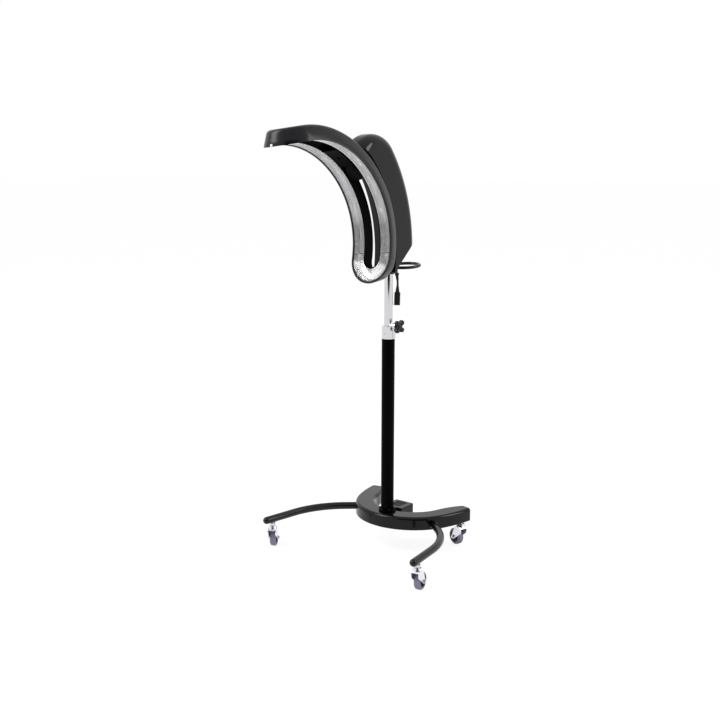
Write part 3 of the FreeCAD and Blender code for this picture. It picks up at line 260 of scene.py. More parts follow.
def new_tree(name, sizes):
    """Geometry tree that takes a line and named sizes, and gives one piece."""
    tree = bpy.data.node_groups.new(name, "GeometryNodeTree")
    tree.is_modifier = True
    tree.interface.new_socket("Line", in_out="INPUT", socket_type="NodeSocketGeometry")
    for label, value in sizes.items():
        kind = "NodeSocketFloat"
        if isinstance(value, int):
            kind = "NodeSocketInt"
        if isinstance(value, bpy.types.Object):
            kind = "NodeSocketObject"
        tree.interface.new_socket(label, in_out="INPUT", socket_type=kind)
    tree.interface.new_socket("Piece", in_out="OUTPUT", socket_type="NodeSocketGeometry")
    return tree, tree.nodes.new("NodeGroupInput").outputs


def end_tree(tree, shape, material, smooth=True):
    """Close a tree with real geometry in one finish."""
    real = step(tree, "GeometryNodeRealizeInstances", _0=shape)
    shaded = step(tree, "GeometryNodeSetShadeSmooth", _0=real.outputs[0], Shade_Smooth=smooth)
    painted = step(tree, "GeometryNodeSetMaterial", _0=shaded.outputs[0], Material=material)
    step(tree, "NodeGroupOutput", _0=painted.outputs[0])


def grow(name, tree, sizes, line, body, slot_name):
    """Run a tree on a line and keep the result as a plain piece."""
    holder = bpy.data.objects.new(name + "_line", line)
    scene.collection.objects.link(holder)
    grower = holder.modifiers.new(name, "NODES")
    grower.node_group = tree
    for item in tree.interface.items_tree:
        if item.in_out == "INPUT" and item.name in sizes:
            grower[item.identifier] = sizes[item.name]
    mesh = settled_mesh(holder)
    mesh.name = name
    bpy.data.objects.remove(holder)
    return new_piece(name, mesh, body, slot_name)


def lathe(name, profile, sides):
    """Small turned or hexagonal part that stands on the origin along +Z."""
    rings = [ring_round(Vector((0, 0, height)), upward, radius, sides) for radius, height in profile]
    return bpy.data.objects.new(name, rings_mesh(name, rings, False))


def store_directions(mesh, label, directions):
    """Keep one direction for each point of a mesh under a name."""
    store = mesh.attributes.new(label, "FLOAT_VECTOR", "POINT")
    for item, direction in zip(store.data, directions):
        item.vector = direction


def stored(tree, label):
    """Socket that reads the directions kept under a name."""
    return step(tree, "GeometryNodeInputNamedAttribute", {"data_type": "FLOAT_VECTOR"},
                Name=label).outputs["Attribute"]


def plant(name, part, places, material, body, slot_name, smooth=False):
    """Set one small part on every place: where it is, what it stands along and what it points to."""
    spots = bpy.data.meshes.new(name + "_places")
    spots.from_pydata([place[0] for place in places], [], [])
    store_directions(spots, "stands", [place[1] for place in places])
    store_directions(spots, "points", [place[2] for place in places])
    sizes = {"Part": part, "Size": 1.0}
    tree, size = new_tree(name + "_planting", sizes)
    upright = step(tree, "FunctionNodeAlignRotationToVector", {"axis": "Z"}, Vector=stored(tree, "stands"))
    aimed = step(tree, "FunctionNodeAlignRotationToVector", {"axis": "X", "pivot_axis": "Z"},
                 Rotation=upright.outputs[0], Vector=stored(tree, "points"))
    shape = step(tree, "GeometryNodeObjectInfo", Object=size["Part"])
    planted = step(tree, "GeometryNodeInstanceOnPoints", Points=size["Line"],
                   Instance=shape.outputs["Geometry"], Rotation=aimed.outputs[0], Scale=size["Size"])
    end_tree(tree, planted.outputs[0], material, smooth)
    return grow(name, tree, sizes, spots, body, slot_name)


rib_rings = [[Vector((x * rib_half_length, y * rib_half_width, z)) for x, y in square]
             for z in (rib_foot, rib_top)]
wheel_rib = bpy.data.objects.new("wheel_rib", rings_mesh("wheel_rib", rib_rings, False))
axle_nut = lathe("axle_nut", axle_nut_profile, nut_sides)
stem_nut = lathe("stem_nut", stem_nut_profile, nut_sides)
for corner, (x, y, heading) in castors.items():
    forward = Vector((math.cos(math.radians(heading)), math.sin(math.radians(heading)), 0))
    axle_line = Vector((-forward.y, forward.x, 0))
    hub_middle = Vector((x, y, wheel_centre_height)) + forward * castor_trail
    dress(zinc_plate, f"castor_{corner}_fork")
    dress(axle_steel, f"castor_{corner}_axle")
    dress(wheel_core, f"castor_{corner}_hub")
    dress(tyre_rubber, f"castor_{corner}_tyre")
    rib_places, nut_places = [], []
    for side in (1, -1):
        nut_places.append((hub_middle + axle_line * side * fork_half_width, axle_line * side, forward))
        for number in range(rib_count):
            away = Quaternion(axle_line, full_turn * number / rib_count) @ forward
            rib_places.append((hub_middle + away * rib_middle, axle_line * side, away))
    plant(f"wheel_ribs_{corner}", wheel_rib, rib_places, wheel_core, f"wheel_{corner}", "wheel_core")
    plant(f"axle_nuts_{corner}", axle_nut, nut_places, zinc_plate, f"castor_{corner}", "zinc")
dress(axle_steel, "castor_stems")
stem_places = [(Vector((x, y, stem_nut_height)), upward, Vector((1, 0, 0)))
               for x, y, heading in castors.values()]
plant("stem_nuts", stem_nut, stem_places, zinc_plate, "base", "zinc")

# ---------------------------------------------------------------- crescent base and legs
# An iron plate under a glossy moulded cover; two bent tubes, powder coated and closed
# with moulded plugs, come out of it to the front, and a ribbed mat lies in the tail.
mat_centre = Vector((0.0585, 0, 0.1166))
mat_half_length = 0.0195
mat_half_width = 0.0165
mat_thickness = 0.0011
mat_valley_share = 0.55
mat_ribs = 11

gloss_cover = surface("gloss_cover", (0.0024, 0.0024, 0.0030), (0.07, 0.13), 260, relief=0.02, shine=0.22)
powder_coat = surface("powder_coat", (0.004, 0.004, 0.0045), (0.20, 0.30), 1400, relief=0.10, shine=0.30)
plug_plastic = surface("plug_plastic", (0.004, 0.004, 0.0045), (0.16, 0.26), 900, relief=0.08, shine=0.30)
mat_rubber = surface("mat_rubber", (0.020, 0.020, 0.022), (0.55, 0.7), 1200, relief=0.3, tint=0.2, shine=0.3)
dress(gloss_cover, "base_cover")
dress(powder_coat, "base_frame", "leg_left", "leg_right")
dress(plug_plastic, "leg_end_caps")
mat_rows = []
mat_steps = mat_ribs * rings_per_rib
for index in range(mat_steps + 1):
    x = mat_centre.x - mat_half_length + 2 * mat_half_length * index / mat_steps
    top = mat_centre.z + mat_thickness * (1.0 if on_crest(index) else mat_valley_share)
    mat_rows.append([Vector((x, -mat_half_width, mat_centre.z)), Vector((x, mat_half_width, mat_centre.z)),
                     Vector((x, mat_half_width, top)), Vector((x, -mat_half_width, top))])
new_piece("tail_mat", rings_mesh("tail_mat", mat_rows, False), "base", "rubber_black", mat_rubber)

# ---------------------------------------------------------------- column, collar and clamp
# A powder coated tube on a screwed foot; a plated collar at its top clamps the sliding
# chrome mast with a moulded hand knob.
foot_screw_count = 6
foot_screw_ring = 0.02225
foot_screw_seat = 0.1216
foot_screw_start = 170
foot_screw_profile = [(0.0028, 0), (0.0028, 0.0022), (0.0024, 0.0027), (0.0014, 0.0027), (0.0012, 0.0012)]
foot_screw_sides = 12

column_coat = surface("column_coat", (0.0008, 0.0008, 0.0010), (0.26, 0.36), 1600, relief=0.08, shine=0.03)
dress(column_coat, "column_tube", "column_foot")
screw_black = surface("screw_black", (0.02, 0.02, 0.022), (0.2, 0.3), 900, metallic=1.0, relief=0.05)
screw_head = lathe("screw_head", foot_screw_profile, foot_screw_sides)
screw_places = []
for number in range(foot_screw_count):
    a = math.radians(foot_screw_start + 360 * number / foot_screw_count)
    seat = Vector((foot_screw_ring * math.cos(a), foot_screw_ring * math.sin(a), foot_screw_seat))
    screw_places.append((seat, upward, Vector((math.cos(a), math.sin(a), 0))))
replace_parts(plant("foot_screw_heads", screw_head, screw_places, screw_black, "base", "steel"), "foot_screws")
bright_chrome = surface("bright_chrome", (0.66, 0.66, 0.68), (0.03, 0.08), 300, metallic=1.0, tint=0.03)
dress(bright_chrome, "mast_collar", "mast_tube")
dress(axle_steel, "collar_set_screw", "clamp_screw")
bush_acetal = surface("bush_acetal", (0.72, 0.72, 0.70), (0.35, 0.45), 900, relief=0.1)
dress(bush_acetal, "glide_bush", "clamp_pad")

# The knob's outline is four balls on arms, blended into a round middle.
knob_height = 0.672
knob_front = 0.0455
knob_back = 0.0325
knob_reach = 0.0155
knob_ball = 0.0058
knob_waist = 0.0030
knob_middle = 0.0078
knob_blend = 0.0012
knob_search_steps = 24
knob_sides = 96
knob_edge = 0.0030
knob_flat_share = 0.45
knob_layers = (-1.0, -0.93, -0.75, -0.45, 0.0, 0.45, 0.75, 0.93, 1.0)
neck_profile = ((0.0295, 0.0078), (0.0300, 0.0085), (0.0330, 0.0085))
neck_sides = 32
knob_plastic = surface("knob_plastic", (0.004, 0.004, 0.0045), (0.28, 0.4), 1100, relief=0.15, shine=0.3)


def knob_outline(angle):
    """Distance of the knob's outline from its axis, found by halving."""
    nearest = (angle - math.pi / 4) % (math.pi / 2)
    nearest = min(nearest, math.pi / 2 - nearest)
    low, high = knob_middle * 0.8, knob_reach + knob_ball
    for _ in range(knob_search_steps):
        trial = (low + high) / 2
        spot = Vector((trial * math.cos(nearest), trial * math.sin(nearest)))
        ball = (spot - Vector((knob_reach, 0))).length - knob_ball
        arm = abs(spot.y) - knob_waist if spot.x < knob_reach else ball
        hub = trial - knob_middle
        blend = -math.log(sum(math.exp(-d / knob_blend) for d in (ball, arm, hub))) * knob_blend
        if blend < 0:
            low = trial
        else:
            high = trial
    return low


knob_angles = [full_turn * i / knob_sides for i in range(knob_sides)]
knob_radii = [knob_outline(angle) for angle in knob_angles]
knob_depth = -(knob_front + knob_back) / 2
knob_half = (knob_front - knob_back) / 2
knob_rings = []
for share in knob_layers:
    past_flat = max(0.0, abs(share) - knob_flat_share)
    draw_in = knob_edge * (1 - math.sqrt(max(0.0, 1 - past_flat ** 2 / (1 - knob_flat_share) ** 2)))
    knob_rings.append([Vector(((radius - draw_in) * math.cos(angle), knob_depth - share * knob_half,
                               knob_height + (radius - draw_in) * math.sin(angle)))
                       for angle, radius in zip(knob_angles, knob_radii)])
hand_knob = new_piece("hand_knob", rings_mesh("hand_knob", knob_rings), "clamp_handle", "satin_black",
                      knob_plastic)
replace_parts(hand_knob, "clamp_knob")
neck_rings = [ring_round(Vector((0, -y, knob_height)), Vector((0, -1, 0)), radius, neck_sides)
              for y, radius in neck_profile]
new_piece("knob_neck", rings_mesh("knob_neck", neck_rings), "clamp_handle", "satin_black", knob_plastic)
dress(knob_plastic, "mast_end_cap")

# ---------------------------------------------------------------- head
# Two glossy moulded housing halves and a curved operator's panel close the chassis with
# the gear motor; a round handle bar is clamped to the mast under them.
housing_gloss = surface("housing_gloss", (0.0052, 0.0046, 0.0060), (0.05, 0.10), 240, relief=0.02, shine=0.24)
dress(housing_gloss, "housing_left", "housing_right", "rear_panel")
dress(axle_steel, "head_chassis", "hub_bearings", "gear_motor", "orbit_shaft", "hub_carrier")
dress(plug_plastic, "slip_ring", "ring_bracket", "rear_ring")
board_green = surface("board_green", (0.03, 0.16, 0.08), (0.3, 0.45), 500, relief=0.1, tint=0.2)
dress(board_green, "control_board")
window_smoke = surface("window_smoke", (0.006, 0.006, 0.008), (0.03, 0.06), 200)
dress(window_smoke, "display_window")
button_plastic = surface("button_plastic", (0.16, 0.16, 0.17), (0.35, 0.5), 900, relief=0.15)
dress(button_plastic, "button_1", "button_2", "button_3", "button_4")

# ---------------------------------------------------------------- halo shell and hub
# A moulded trough bent round the client's head, satin outside and dull black in its
# slot; a grooved hub cap and the sensor block close the slot's middle.
halo_centre = Vector((-0.350475, 0, 0.9405))
orbit_angle = math.radians(40.9)
parked_turn = math.radians(-6.8)
halo_half_angle = math.radians(56.3)
rim_radius = 0.245
slot_reach = 0.0325
rail_middle = 0.0494
weld_distance = 0.000005
crease_angle = math.radians(28)


def outward(angle):
    """Direction from the halo's centre at an elevation angle, before the halo is parked."""
    return Vector((math.cos(angle), 0, math.sin(angle)))


parked = (Matrix.Translation(halo_centre) @ Matrix.Rotation(parked_turn, 4, outward(orbit_angle))
          @ Matrix.Translation(-halo_centre))

halo_satin = surface("halo_satin", (0.0058, 0.0056, 0.0075), (0.20, 0.30), 900, relief=0.06, tint=0.1,
                     shine=0.22)
slot_black = surface("slot_black", (0.0006, 0.0006, 0.0007), (0.60, 0.75), 900, relief=0.1, shine=0.05)
hub_black = surface("hub_black", (0.0022, 0.0020, 0.0020), (0.45, 0.7), 420, relief=0.6, tint=0.6, shine=0.04)
sensor_gloss = surface("sensor_gloss", (0.0006, 0.0006, 0.0008), (0.30, 0.40), 300, relief=0.02, shine=0.01)
dress(sensor_gloss, "sensor_block")
dress(hub_black, "hub_cap")


def from_centre_plane(spot):
    """How far a point of the parked halo lies from its centre plane, round the ends too."""
    local = parked.inverted() @ spot - halo_centre
    angle = math.atan2(local.z, local.x)
    past = abs(angle - orbit_angle) - halo_half_angle
    reach = math.hypot(local.x, local.z)
    return math.hypot(local.y, reach * math.sin(past)) if past > 0 else abs(local.y)


shell_shape = bmesh.new()
shell_shape.from_mesh(node["halo_shell"].data)
bmesh.ops.remove_doubles(shell_shape, verts=shell_shape.verts, dist=weld_distance)
for face in shell_shape.faces:
    face.smooth = True
    face.material_index = 1 if from_centre_plane(face.calc_center_median()) < slot_reach else 0
for edge in shell_shape.edges:
    edge.smooth = edge.calc_face_angle(0) < crease_angle
shell_mesh = bpy.data.meshes.new("halo_trough")
shell_shape.to_mesh(shell_mesh)
shell_shape.free()
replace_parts(new_piece("halo_trough", shell_mesh, "halo", "satin_black", halo_satin, slot_black), "halo_shell")

# ---------------------------------------------------------------- halo reflector
# Bright rolled sheet with fine flutes along its length, stepped up at both sides of
# each rail and carried round both ends.
sheet_corners = [(-0.0183, 0.0030), (-0.0143, 0.0140), (-0.0103, 0.0180), (-0.0063, 0.0220), (0.0063, 0.0220),
                 (0.0103, 0.0180), (0.0143, 0.0140), (0.0183, 0.0030)]
sheet_half_width = sheet_corners[-1][0]
sheet_thickness = 0.0008
flute_pitch = 0.0022
flute_depth = 0.00035
flute_points = 4
rail_steps = 72
turn_steps = 28
reflector_sheet = surface("reflector_sheet", (0.71, 0.70, 0.70), (0.05, 0.11), 1500, relief=0.02,
                          metallic=1.0, tint=0.05)


def onward(angle):
    """Direction in which the elevation angle grows, square to outward."""
    return Vector((-math.sin(angle), 0, math.cos(angle)))


def halo_spot(radius, angle, across):
    """Point of the parked halo from its radius, elevation angle and distance from the centre plane."""
    return parked @ (halo_centre + outward(angle) * radius + Vector((0, across, 0)))


def loop_mesh(name, points):
    """Closed line through points."""
    mesh = bpy.data.meshes.new(name)
    mesh.from_pydata(points, [(i, (i + 1) % len(points)) for i in range(len(points))], [])
    return mesh


def racetrack_line(name, radius, offset):
    """Closed line along both rails and round both ends, with the outward direction at each point."""
    low, high = orbit_angle - halo_half_angle, orbit_angle + halo_half_angle
    places, facings = [], []
    for side, start, end in ((1, low, high), (-1, high, low)):
        for i in range(rail_steps):
            a = start + (end - start) * i / rail_steps
            places.append(outward(a) * radius + sideways * offset * side)
            facings.append(outward(a))
        for i in range(turn_steps):
            a = math.pi * i / turn_steps
            swing = (sideways * math.cos(a) + onward(end) * math.sin(a)) * side
            places.append(outward(end) * radius + swing * offset)
            facings.append(outward(end))
    mesh = loop_mesh(name, [parked @ (halo_centre + place) for place in places])
    store_directions(mesh, "outward", [parked.to_3x3() @ facing for facing in facings])
    return mesh


def line_facing_out(tree, line):
    """The racetrack as a curve whose normals point away from the client."""
    bent = step(tree, "GeometryNodeMeshToCurve", _0=line)
    return step(tree, "GeometryNodeSetCurveNormal", {"mode": "FREE"}, Curve=bent.outputs[0],
                Normal=stored(tree, "outward")).outputs[0]


sheet_line = []
for (y0, d0), (y1, d1) in zip(sheet_corners, sheet_corners[1:]):
    run = math.hypot(y1 - y0, d1 - d0)
    flutes = max(1, round(run / flute_pitch))
    normal = Vector((-(d1 - d0), y1 - y0)) / run
    for i in range(flutes * flute_points):
        share = i / (flutes * flute_points)
        dip = flute_depth * math.sin(math.pi * ((share * flutes) % 1.0))
        sheet_line.append((y0 + (y1 - y0) * share - normal.x * dip, d0 + (d1 - d0) * share - normal.y * dip))
sheet_line.append(sheet_corners[-1])
sheet_back = [(y * (1 + sheet_thickness / sheet_half_width), d + sheet_thickness)
              for y, d in sheet_corners[::-1]]
sheet_profile = bpy.data.objects.new(
    "sheet_profile", loop_mesh("sheet_profile", [Vector((d, y, 0)) for y, d in sheet_line + sheet_back]))
reflector_sizes = {"Profile": sheet_profile}
tree, size = new_tree("rolled_sheet", reflector_sizes)
outline = step(tree, "GeometryNodeObjectInfo", Object=size["Profile"])
outline_curve = step(tree, "GeometryNodeMeshToCurve", _0=outline.outputs["Geometry"])
rolled = step(tree, "GeometryNodeCurveToMesh", Curve=line_facing_out(tree, size["Line"]),
              Profile_Curve=outline_curve.outputs[0])
end_tree(tree, rolled.outputs[0], reflector_sheet)
reflector_line = racetrack_line("reflector_line", rim_radius, rail_middle)
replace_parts(grow("fluted_reflector", tree, reflector_sizes, reflector_line, "halo", "reflector"),
            "halo_reflector")

# ---------------------------------------------------------------- halo guard
# Fine plated wires run round the halo in front of the heaters and slope down to the
# slot; pairs of cross wires are welded behind them.
guard_sizes = {"Wires": 9, "First wire": 0.0349, "Pitch": 0.003425, "Wire radius": 0.0006,
               "Line offset": 0.0486, "Depth": 0.0024, "Slope": 0.0015}
guard_wire_sides = 6
cross_pairs = 4
cross_spread = math.radians(0.8)
cross_inner, cross_inner_depth = 0.0333, 0.0050
cross_outer, cross_outer_depth = 0.0663, 0.0036
cross_radius = 0.0007
cross_sides = 8
guard_plating = surface("guard_plating", (0.74, 0.74, 0.76), (0.08, 0.16), 700, metallic=1.0)


def calc(tree, operation, first, second):
    """Arithmetic on two values or sockets."""
    return step(tree, "ShaderNodeMath", {"operation": operation}, _0=first, _1=second).outputs[0]


def halo_angle(reach, number, count):
    """Elevation angle of an evenly spaced place between one reach below the orbit line and one above."""
    return orbit_angle - reach + 2 * reach * number / count


tree, size = new_tree("guard_wires", guard_sizes)
fall = calc(tree, "DIVIDE", size["Slope"], calc(tree, "SUBTRACT", size["Wires"], 1))
first_wire = step(tree, "ShaderNodeCombineXYZ", X=calc(tree, "ADD", size["Depth"], size["Slope"]),
                  Y=calc(tree, "SUBTRACT", size["First wire"], size["Line offset"]))
spacing = step(tree, "ShaderNodeCombineXYZ", X=calc(tree, "MULTIPLY", fall, -1.0), Y=size["Pitch"])
row = step(tree, "GeometryNodeMeshLine", Count=size["Wires"], Start_Location=first_wire.outputs[0],
           Offset=spacing.outputs[0])
wire = step(tree, "GeometryNodeCurvePrimitiveCircle", Resolution=guard_wire_sides,
            Radius=size["Wire radius"])
rack = step(tree, "GeometryNodeInstanceOnPoints", Points=row.outputs[0], Instance=wire.outputs[0])
rack_real = step(tree, "GeometryNodeRealizeInstances", _0=rack.outputs[0])
drawn = step(tree, "GeometryNodeCurveToMesh", Curve=line_facing_out(tree, size["Line"]),
             Profile_Curve=rack_real.outputs[0])
end_tree(tree, drawn.outputs[0], guard_plating)
guard_line = racetrack_line("guard_line", rim_radius, guard_sizes["Line offset"])
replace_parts(grow("guard_wires", tree, guard_sizes, guard_line, "halo", "guard_wire"), "halo_guard")

cross_wire = lathe("cross_wire", [(cross_radius, 0), (cross_radius, cross_outer - cross_inner)], cross_sides)
cross_places = []
for pair in range(cross_pairs):
    middle_angle = halo_angle(halo_half_angle, pair, cross_pairs - 1)
    for shift in (-cross_spread, cross_spread):
        for side in (1, -1):
            inner = halo_spot(rim_radius + cross_inner_depth, middle_angle + shift, side * cross_inner)
            outer = halo_spot(rim_radius + cross_outer_depth, middle_angle + shift, side * cross_outer)
            cross_places.append((inner, (outer - inner).normalized(), Vector((1, 0, 0))))
plant("cross_wires", cross_wire, cross_places, guard_plating, "halo", "guard_wire", True)

# ---------------------------------------------------------------- heaters
# Clear quartz tubes with a wound filament lie in both rails, held by ceramic ends and
# by small polished spring clips along the slot's side.
heater_end_margin = math.radians(3.0)
heater_reach = halo_half_angle - heater_end_margin
heater_depth = 0.013
heater_steps = 64
tube_radius = 0.0050
tube_wall = 0.0008
tube_sides = 20
coil_sizes = {"Turns per metre": 300.0, "Steps": 9, "Coil radius": 0.0031, "Wire radius": 0.00045}
coil_wire_sides = 4
clip_count = 10
clip_half_width = 0.0022
clip_thickness = 0.0005
clip_bends = ((-0.0060, -0.0010), (-0.0048, 0.0), (0.0048, 0.0), (0.0060, -0.0010))
clip_across = 0.0366
clip_depth = 0.0120
clip_lean_across = 0.0420
clip_lean_depth = 0.0080
angle_nudge = 0.01
quartz = surface("quartz", (0.97, 0.97, 0.98), (0.02, 0.05), 500)
quartz.node_tree.nodes["Principled BSDF"].inputs["Transmission Weight"].default_value = 1.0
quartz.node_tree.nodes["Principled BSDF"].inputs["IOR"].default_value = 1.46
filament_wire = surface("filament_wire", (0.62, 0.58, 0.54), (0.25, 0.4), 900, metallic=1.0, tint=0.1)
clip_sheet = surface("clip_sheet", (0.85, 0.85, 0.86), (0.06, 0.12), 900, metallic=1.0)
ceramic = surface("ceramic", (0.72, 0.70, 0.66), (0.5, 0.65), 900, relief=0.2, tint=0.06)
dress(ceramic, "heater_caps")


def heater_line(side):
    """Points along the middle of one heater tube."""
    return [halo_spot(rim_radius + heater_depth, halo_angle(heater_reach, i, heater_steps),
                      side * rail_middle) for i in range(heater_steps + 1)]


tube_shape = bmesh.new()
for side in (1, -1):
    middles = heater_line(side)
    outside, inside = ([ring_round(here, (ahead - here).normalized(), radius, tube_sides)
                        for here, ahead in zip(middles, middles[1:])]
                       for radius in (tube_radius, tube_radius - tube_wall))
    tube_shape.from_mesh(rings_mesh("quartz_half", outside + inside[::-1] + outside[:1]))
bmesh.ops.remove_doubles(tube_shape, verts=tube_shape.verts, dist=weld_distance)
caps = [face for face in tube_shape.faces if len(face.verts) > 4]
bmesh.ops.delete(tube_shape, geom=caps, context="FACES_ONLY")
bmesh.ops.recalc_face_normals(tube_shape, faces=tube_shape.faces)
tube_mesh = bpy.data.meshes.new("quartz_tubes")
tube_shape.to_mesh(tube_mesh)
tube_shape.free()
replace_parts(new_piece("quartz_tubes", tube_mesh, "halo", "heater_quartz", quartz), "heater_tubes")

tree, size = new_tree("filament", coil_sizes)
line_in = step(tree, "GeometryNodeMeshToCurve", _0=size["Line"]).outputs[0]
length = step(tree, "GeometryNodeCurveLength", _0=line_in).outputs[0]
dot_count = calc(tree, "MULTIPLY", calc(tree, "MULTIPLY", length, size["Turns per metre"]), size["Steps"])
dots = step(tree, "GeometryNodePoints", Count=dot_count)
dot = step(tree, "GeometryNodeInputIndex").outputs[0]
spin = calc(tree, "MULTIPLY", calc(tree, "DIVIDE", dot, size["Steps"]), full_turn)
here = step(tree, "GeometryNodeSampleCurve", {"mode": "FACTOR"}, Curves=line_in,
            Factor=calc(tree, "DIVIDE", dot, dot_count))
arm = step(tree, "ShaderNodeVectorMath", {"operation": "SCALE"}, _0=here.outputs["Normal"],
           Scale=size["Coil radius"])
around = step(tree, "ShaderNodeVectorRotate", {"rotation_type": "AXIS_ANGLE"}, Vector=arm.outputs[0],
              Axis=here.outputs["Tangent"], Angle=spin)
wound_spot = step(tree, "ShaderNodeVectorMath", {"operation": "ADD"}, _0=here.outputs["Position"],
                  _1=around.outputs[0])
moved = step(tree, "GeometryNodeSetPosition", Geometry=dots.outputs[0], Position=wound_spot.outputs[0])
helix = step(tree, "GeometryNodePointsToCurves", Points=moved.outputs[0])
wire = step(tree, "GeometryNodeCurvePrimitiveCircle", Resolution=coil_wire_sides,
            Radius=size["Wire radius"])
wound = step(tree, "GeometryNodeCurveToMesh", Curve=helix.outputs[0], Profile_Curve=wire.outputs[0],
             Fill_Caps=True)
end_tree(tree, wound.outputs[0], filament_wire)
for label, side in (("left", 1), ("right", -1)):
    line = bpy.data.meshes.new("filament_line_" + label)
    line.from_pydata(heater_line(side), [(i, i + 1) for i in range(heater_steps)], [])
    grow("filament_" + label, tree, coil_sizes, line, "halo", "guard_wire")

clip_corners = [(-clip_half_width, 0.0), (clip_half_width, 0.0), (clip_half_width, clip_thickness),
                (-clip_half_width, clip_thickness)]
clip_rings = [[Vector((x, y, z + lift)) for y, z in clip_corners] for x, lift in clip_bends]
spring_clip = bpy.data.objects.new("spring_clip", rings_mesh("spring_clip", clip_rings, False))
clip_places = []
for number in range(clip_count):
    a = halo_angle(heater_reach, number + 0.5, clip_count)
    for side in (1, -1):
        across = side * clip_across
        seat = halo_spot(rim_radius + clip_depth, a, across)
        lean = (halo_spot(rim_radius, a, side * clip_lean_across)
                - halo_spot(rim_radius + clip_lean_depth, a, across))
        along = halo_spot(rim_radius, a + angle_nudge, across) - halo_spot(rim_radius, a, across)
        clip_places.append((seat, lean.normalized(), along.normalized()))
plant("spring_clips", spring_clip, clip_places, clip_sheet, "halo", "reflector")

# ---------------------------------------------------------------- lamp window
# A small pale diffuser snapped into the upper end of the halo, where a lamp behind it
# shows that the heaters are on.
window_angle = math.radians(113.05)
window_radius = 0.2585
window_half_width = 0.0040
window_half_height = 0.0032
window_corner = 0.0010
window_corner_points = 5
window_proud = 0.0007
window_sunk = 0.0015
window_edge_drop = 0.0003
window_edge_inset = 0.0004
window_face = Vector((-0.970, 0, 0.242)).normalized()
pale_diffuser = surface("pale_diffuser", (0.86, 0.86, 0.84), (0.2, 0.3), 1500, relief=0.05, shine=0.4)
window_seat = outward(window_angle) * window_radius
window_rise = sideways.cross(window_face)
window_layers = ((-window_sunk, 0.0), (window_proud - window_edge_drop, 0.0),
                 (window_proud, window_edge_inset))
window_rings = []
for lift, inset in window_layers:
    ring = []
    for quarter in range(4):
        across = (window_half_width - window_corner) * (1 if quarter in (0, 3) else -1)
        above = (window_half_height - window_corner) * (1 if quarter in (0, 1) else -1)
        for number in range(window_corner_points):
            a = math.pi / 2 * (quarter + number / (window_corner_points - 1))
            spot = (window_seat + window_face * lift
                    + sideways * (across + (window_corner - inset) * math.cos(a))
                    + window_rise * (above + (window_corner - inset) * math.sin(a)))
            ring.append(parked @ (halo_centre + spot))
    window_rings.append(ring)
new_piece("lamp_window", rings_mesh("lamp_window", window_rings, False), "halo", "lens", pale_diffuser)

# ---------------------------------------------------------------- studio
# A white floor that keeps the stand's shadow, a white surround and two soft boxes; a
# dark card far in front of the stand gives polished surfaces something dark to show.
floor_reach = 40
floor_glow = 1.22
floor_glow_share = 0.7
card_half_width = 3.4
card_foot, card_top = 0.02, 4.2
card_place = Vector((-4.4, -3.5, 0))
card_turn = math.atan2(0.609, 0.770) - math.pi / 2
surround_light = 0.55
surround_seen = 1.0
lamp_aim = Vector((0, 0, 0.7))


def seen_rays(tree):
    """One for rays from the camera, through glass or off a polished surface, and none for others."""
    ray = step(tree, "ShaderNodeLightPath").outputs
    direct = calc(tree, "MAXIMUM", ray["Is Camera Ray"], ray["Is Transmission Ray"])
    return calc(tree, "MAXIMUM", direct, ray["Is Glossy Ray"])


def flat_sheet(name, corners, material):
    """One four-cornered sheet of the studio."""
    mesh = bpy.data.meshes.new(name)
    mesh.from_pydata(corners, [], [(0, 1, 2, 3)])
    mesh.materials.append(material)
    sheet = bpy.data.objects.new(name, mesh)
    scene.collection.objects.link(sheet)
    return sheet


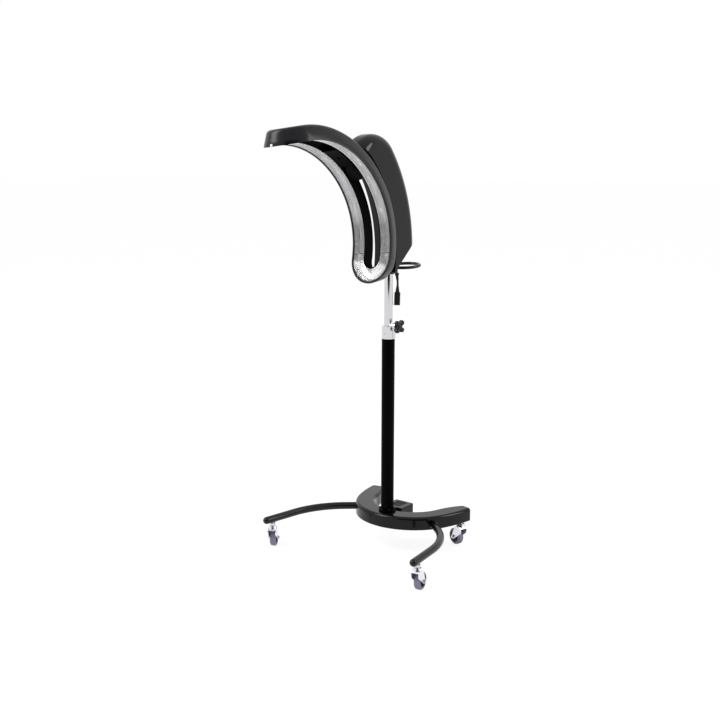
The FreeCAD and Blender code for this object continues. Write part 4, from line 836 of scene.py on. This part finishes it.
def soft_box(name, place, size, power):
    """Rectangular studio lamp aimed at the stand."""
    lamp = bpy.data.lights.new(name, "AREA")
    lamp.shape = "RECTANGLE"
    lamp.size, lamp.size_y = size
    lamp.energy = power
    lamp_object = bpy.data.objects.new(name, lamp)
    lamp_object.location = place
    lamp_object.rotation_mode = "QUATERNION"
    lamp_object.rotation_quaternion = (lamp_aim - Vector(place)).to_track_quat("-Z", "Y")
    scene.collection.objects.link(lamp_object)


floor_paint = bpy.data.materials.new("floor_paint")
floor_paint.use_nodes = True
paint = floor_paint.node_tree
matt = paint.nodes["Principled BSDF"]
matt.inputs["Base Color"].default_value = (0.84, 0.84, 0.84, 1)
matt.inputs["Roughness"].default_value = 0.9
matt.inputs["Specular IOR Level"].default_value = 0.0
glow = step(paint, "ShaderNodeEmission", Strength=floor_glow)
glow_share = calc(paint, "MULTIPLY", seen_rays(paint), floor_glow_share)
mixed = step(paint, "ShaderNodeMixShader", Fac=glow_share, _1=matt.outputs["BSDF"],
             _2=glow.outputs["Emission"])
paint.links.new(mixed.outputs["Shader"], paint.nodes["Material Output"].inputs["Surface"])
floor = flat_sheet("floor", [(x * floor_reach, y * floor_reach, 0) for x, y in square], floor_paint)

card_cloth = surface("card_cloth", (0.004, 0.004, 0.004), (0.9, 1.0), 40, shine=0.0)
dark_card = flat_sheet("dark_card", [(-card_half_width, 0, card_foot), (card_half_width, 0, card_foot),
                                     (card_half_width, 0, card_top), (-card_half_width, 0, card_top)],
                       card_cloth)
dark_card.data.transform(Matrix.Translation(card_place) @ Matrix.Rotation(card_turn, 4, "Z"))
dark_card.visible_camera = False
dark_card.visible_diffuse = False
dark_card.visible_shadow = False
dark_card.visible_transmission = False

world = bpy.data.worlds.new("studio")
scene.world = world
world.use_nodes = True
sky = world.node_tree
sky_light = sky.nodes["Background"]
sky_light.inputs["Color"].default_value = (1, 1, 1, 1)
level = step(sky, "ShaderNodeMapRange", Value=seen_rays(sky), To_Min=surround_light, To_Max=surround_seen)
sky.links.new(level.outputs["Result"], sky_light.inputs["Strength"])
soft_box("key_box", (-2.0, 1.8, 2.8), (1.4, 1.8), 60)
soft_box("fill_box", (1.4, -2.6, 2.0), (1.0, 2.0), 35)
scene.view_settings.view_transform = "Standard"
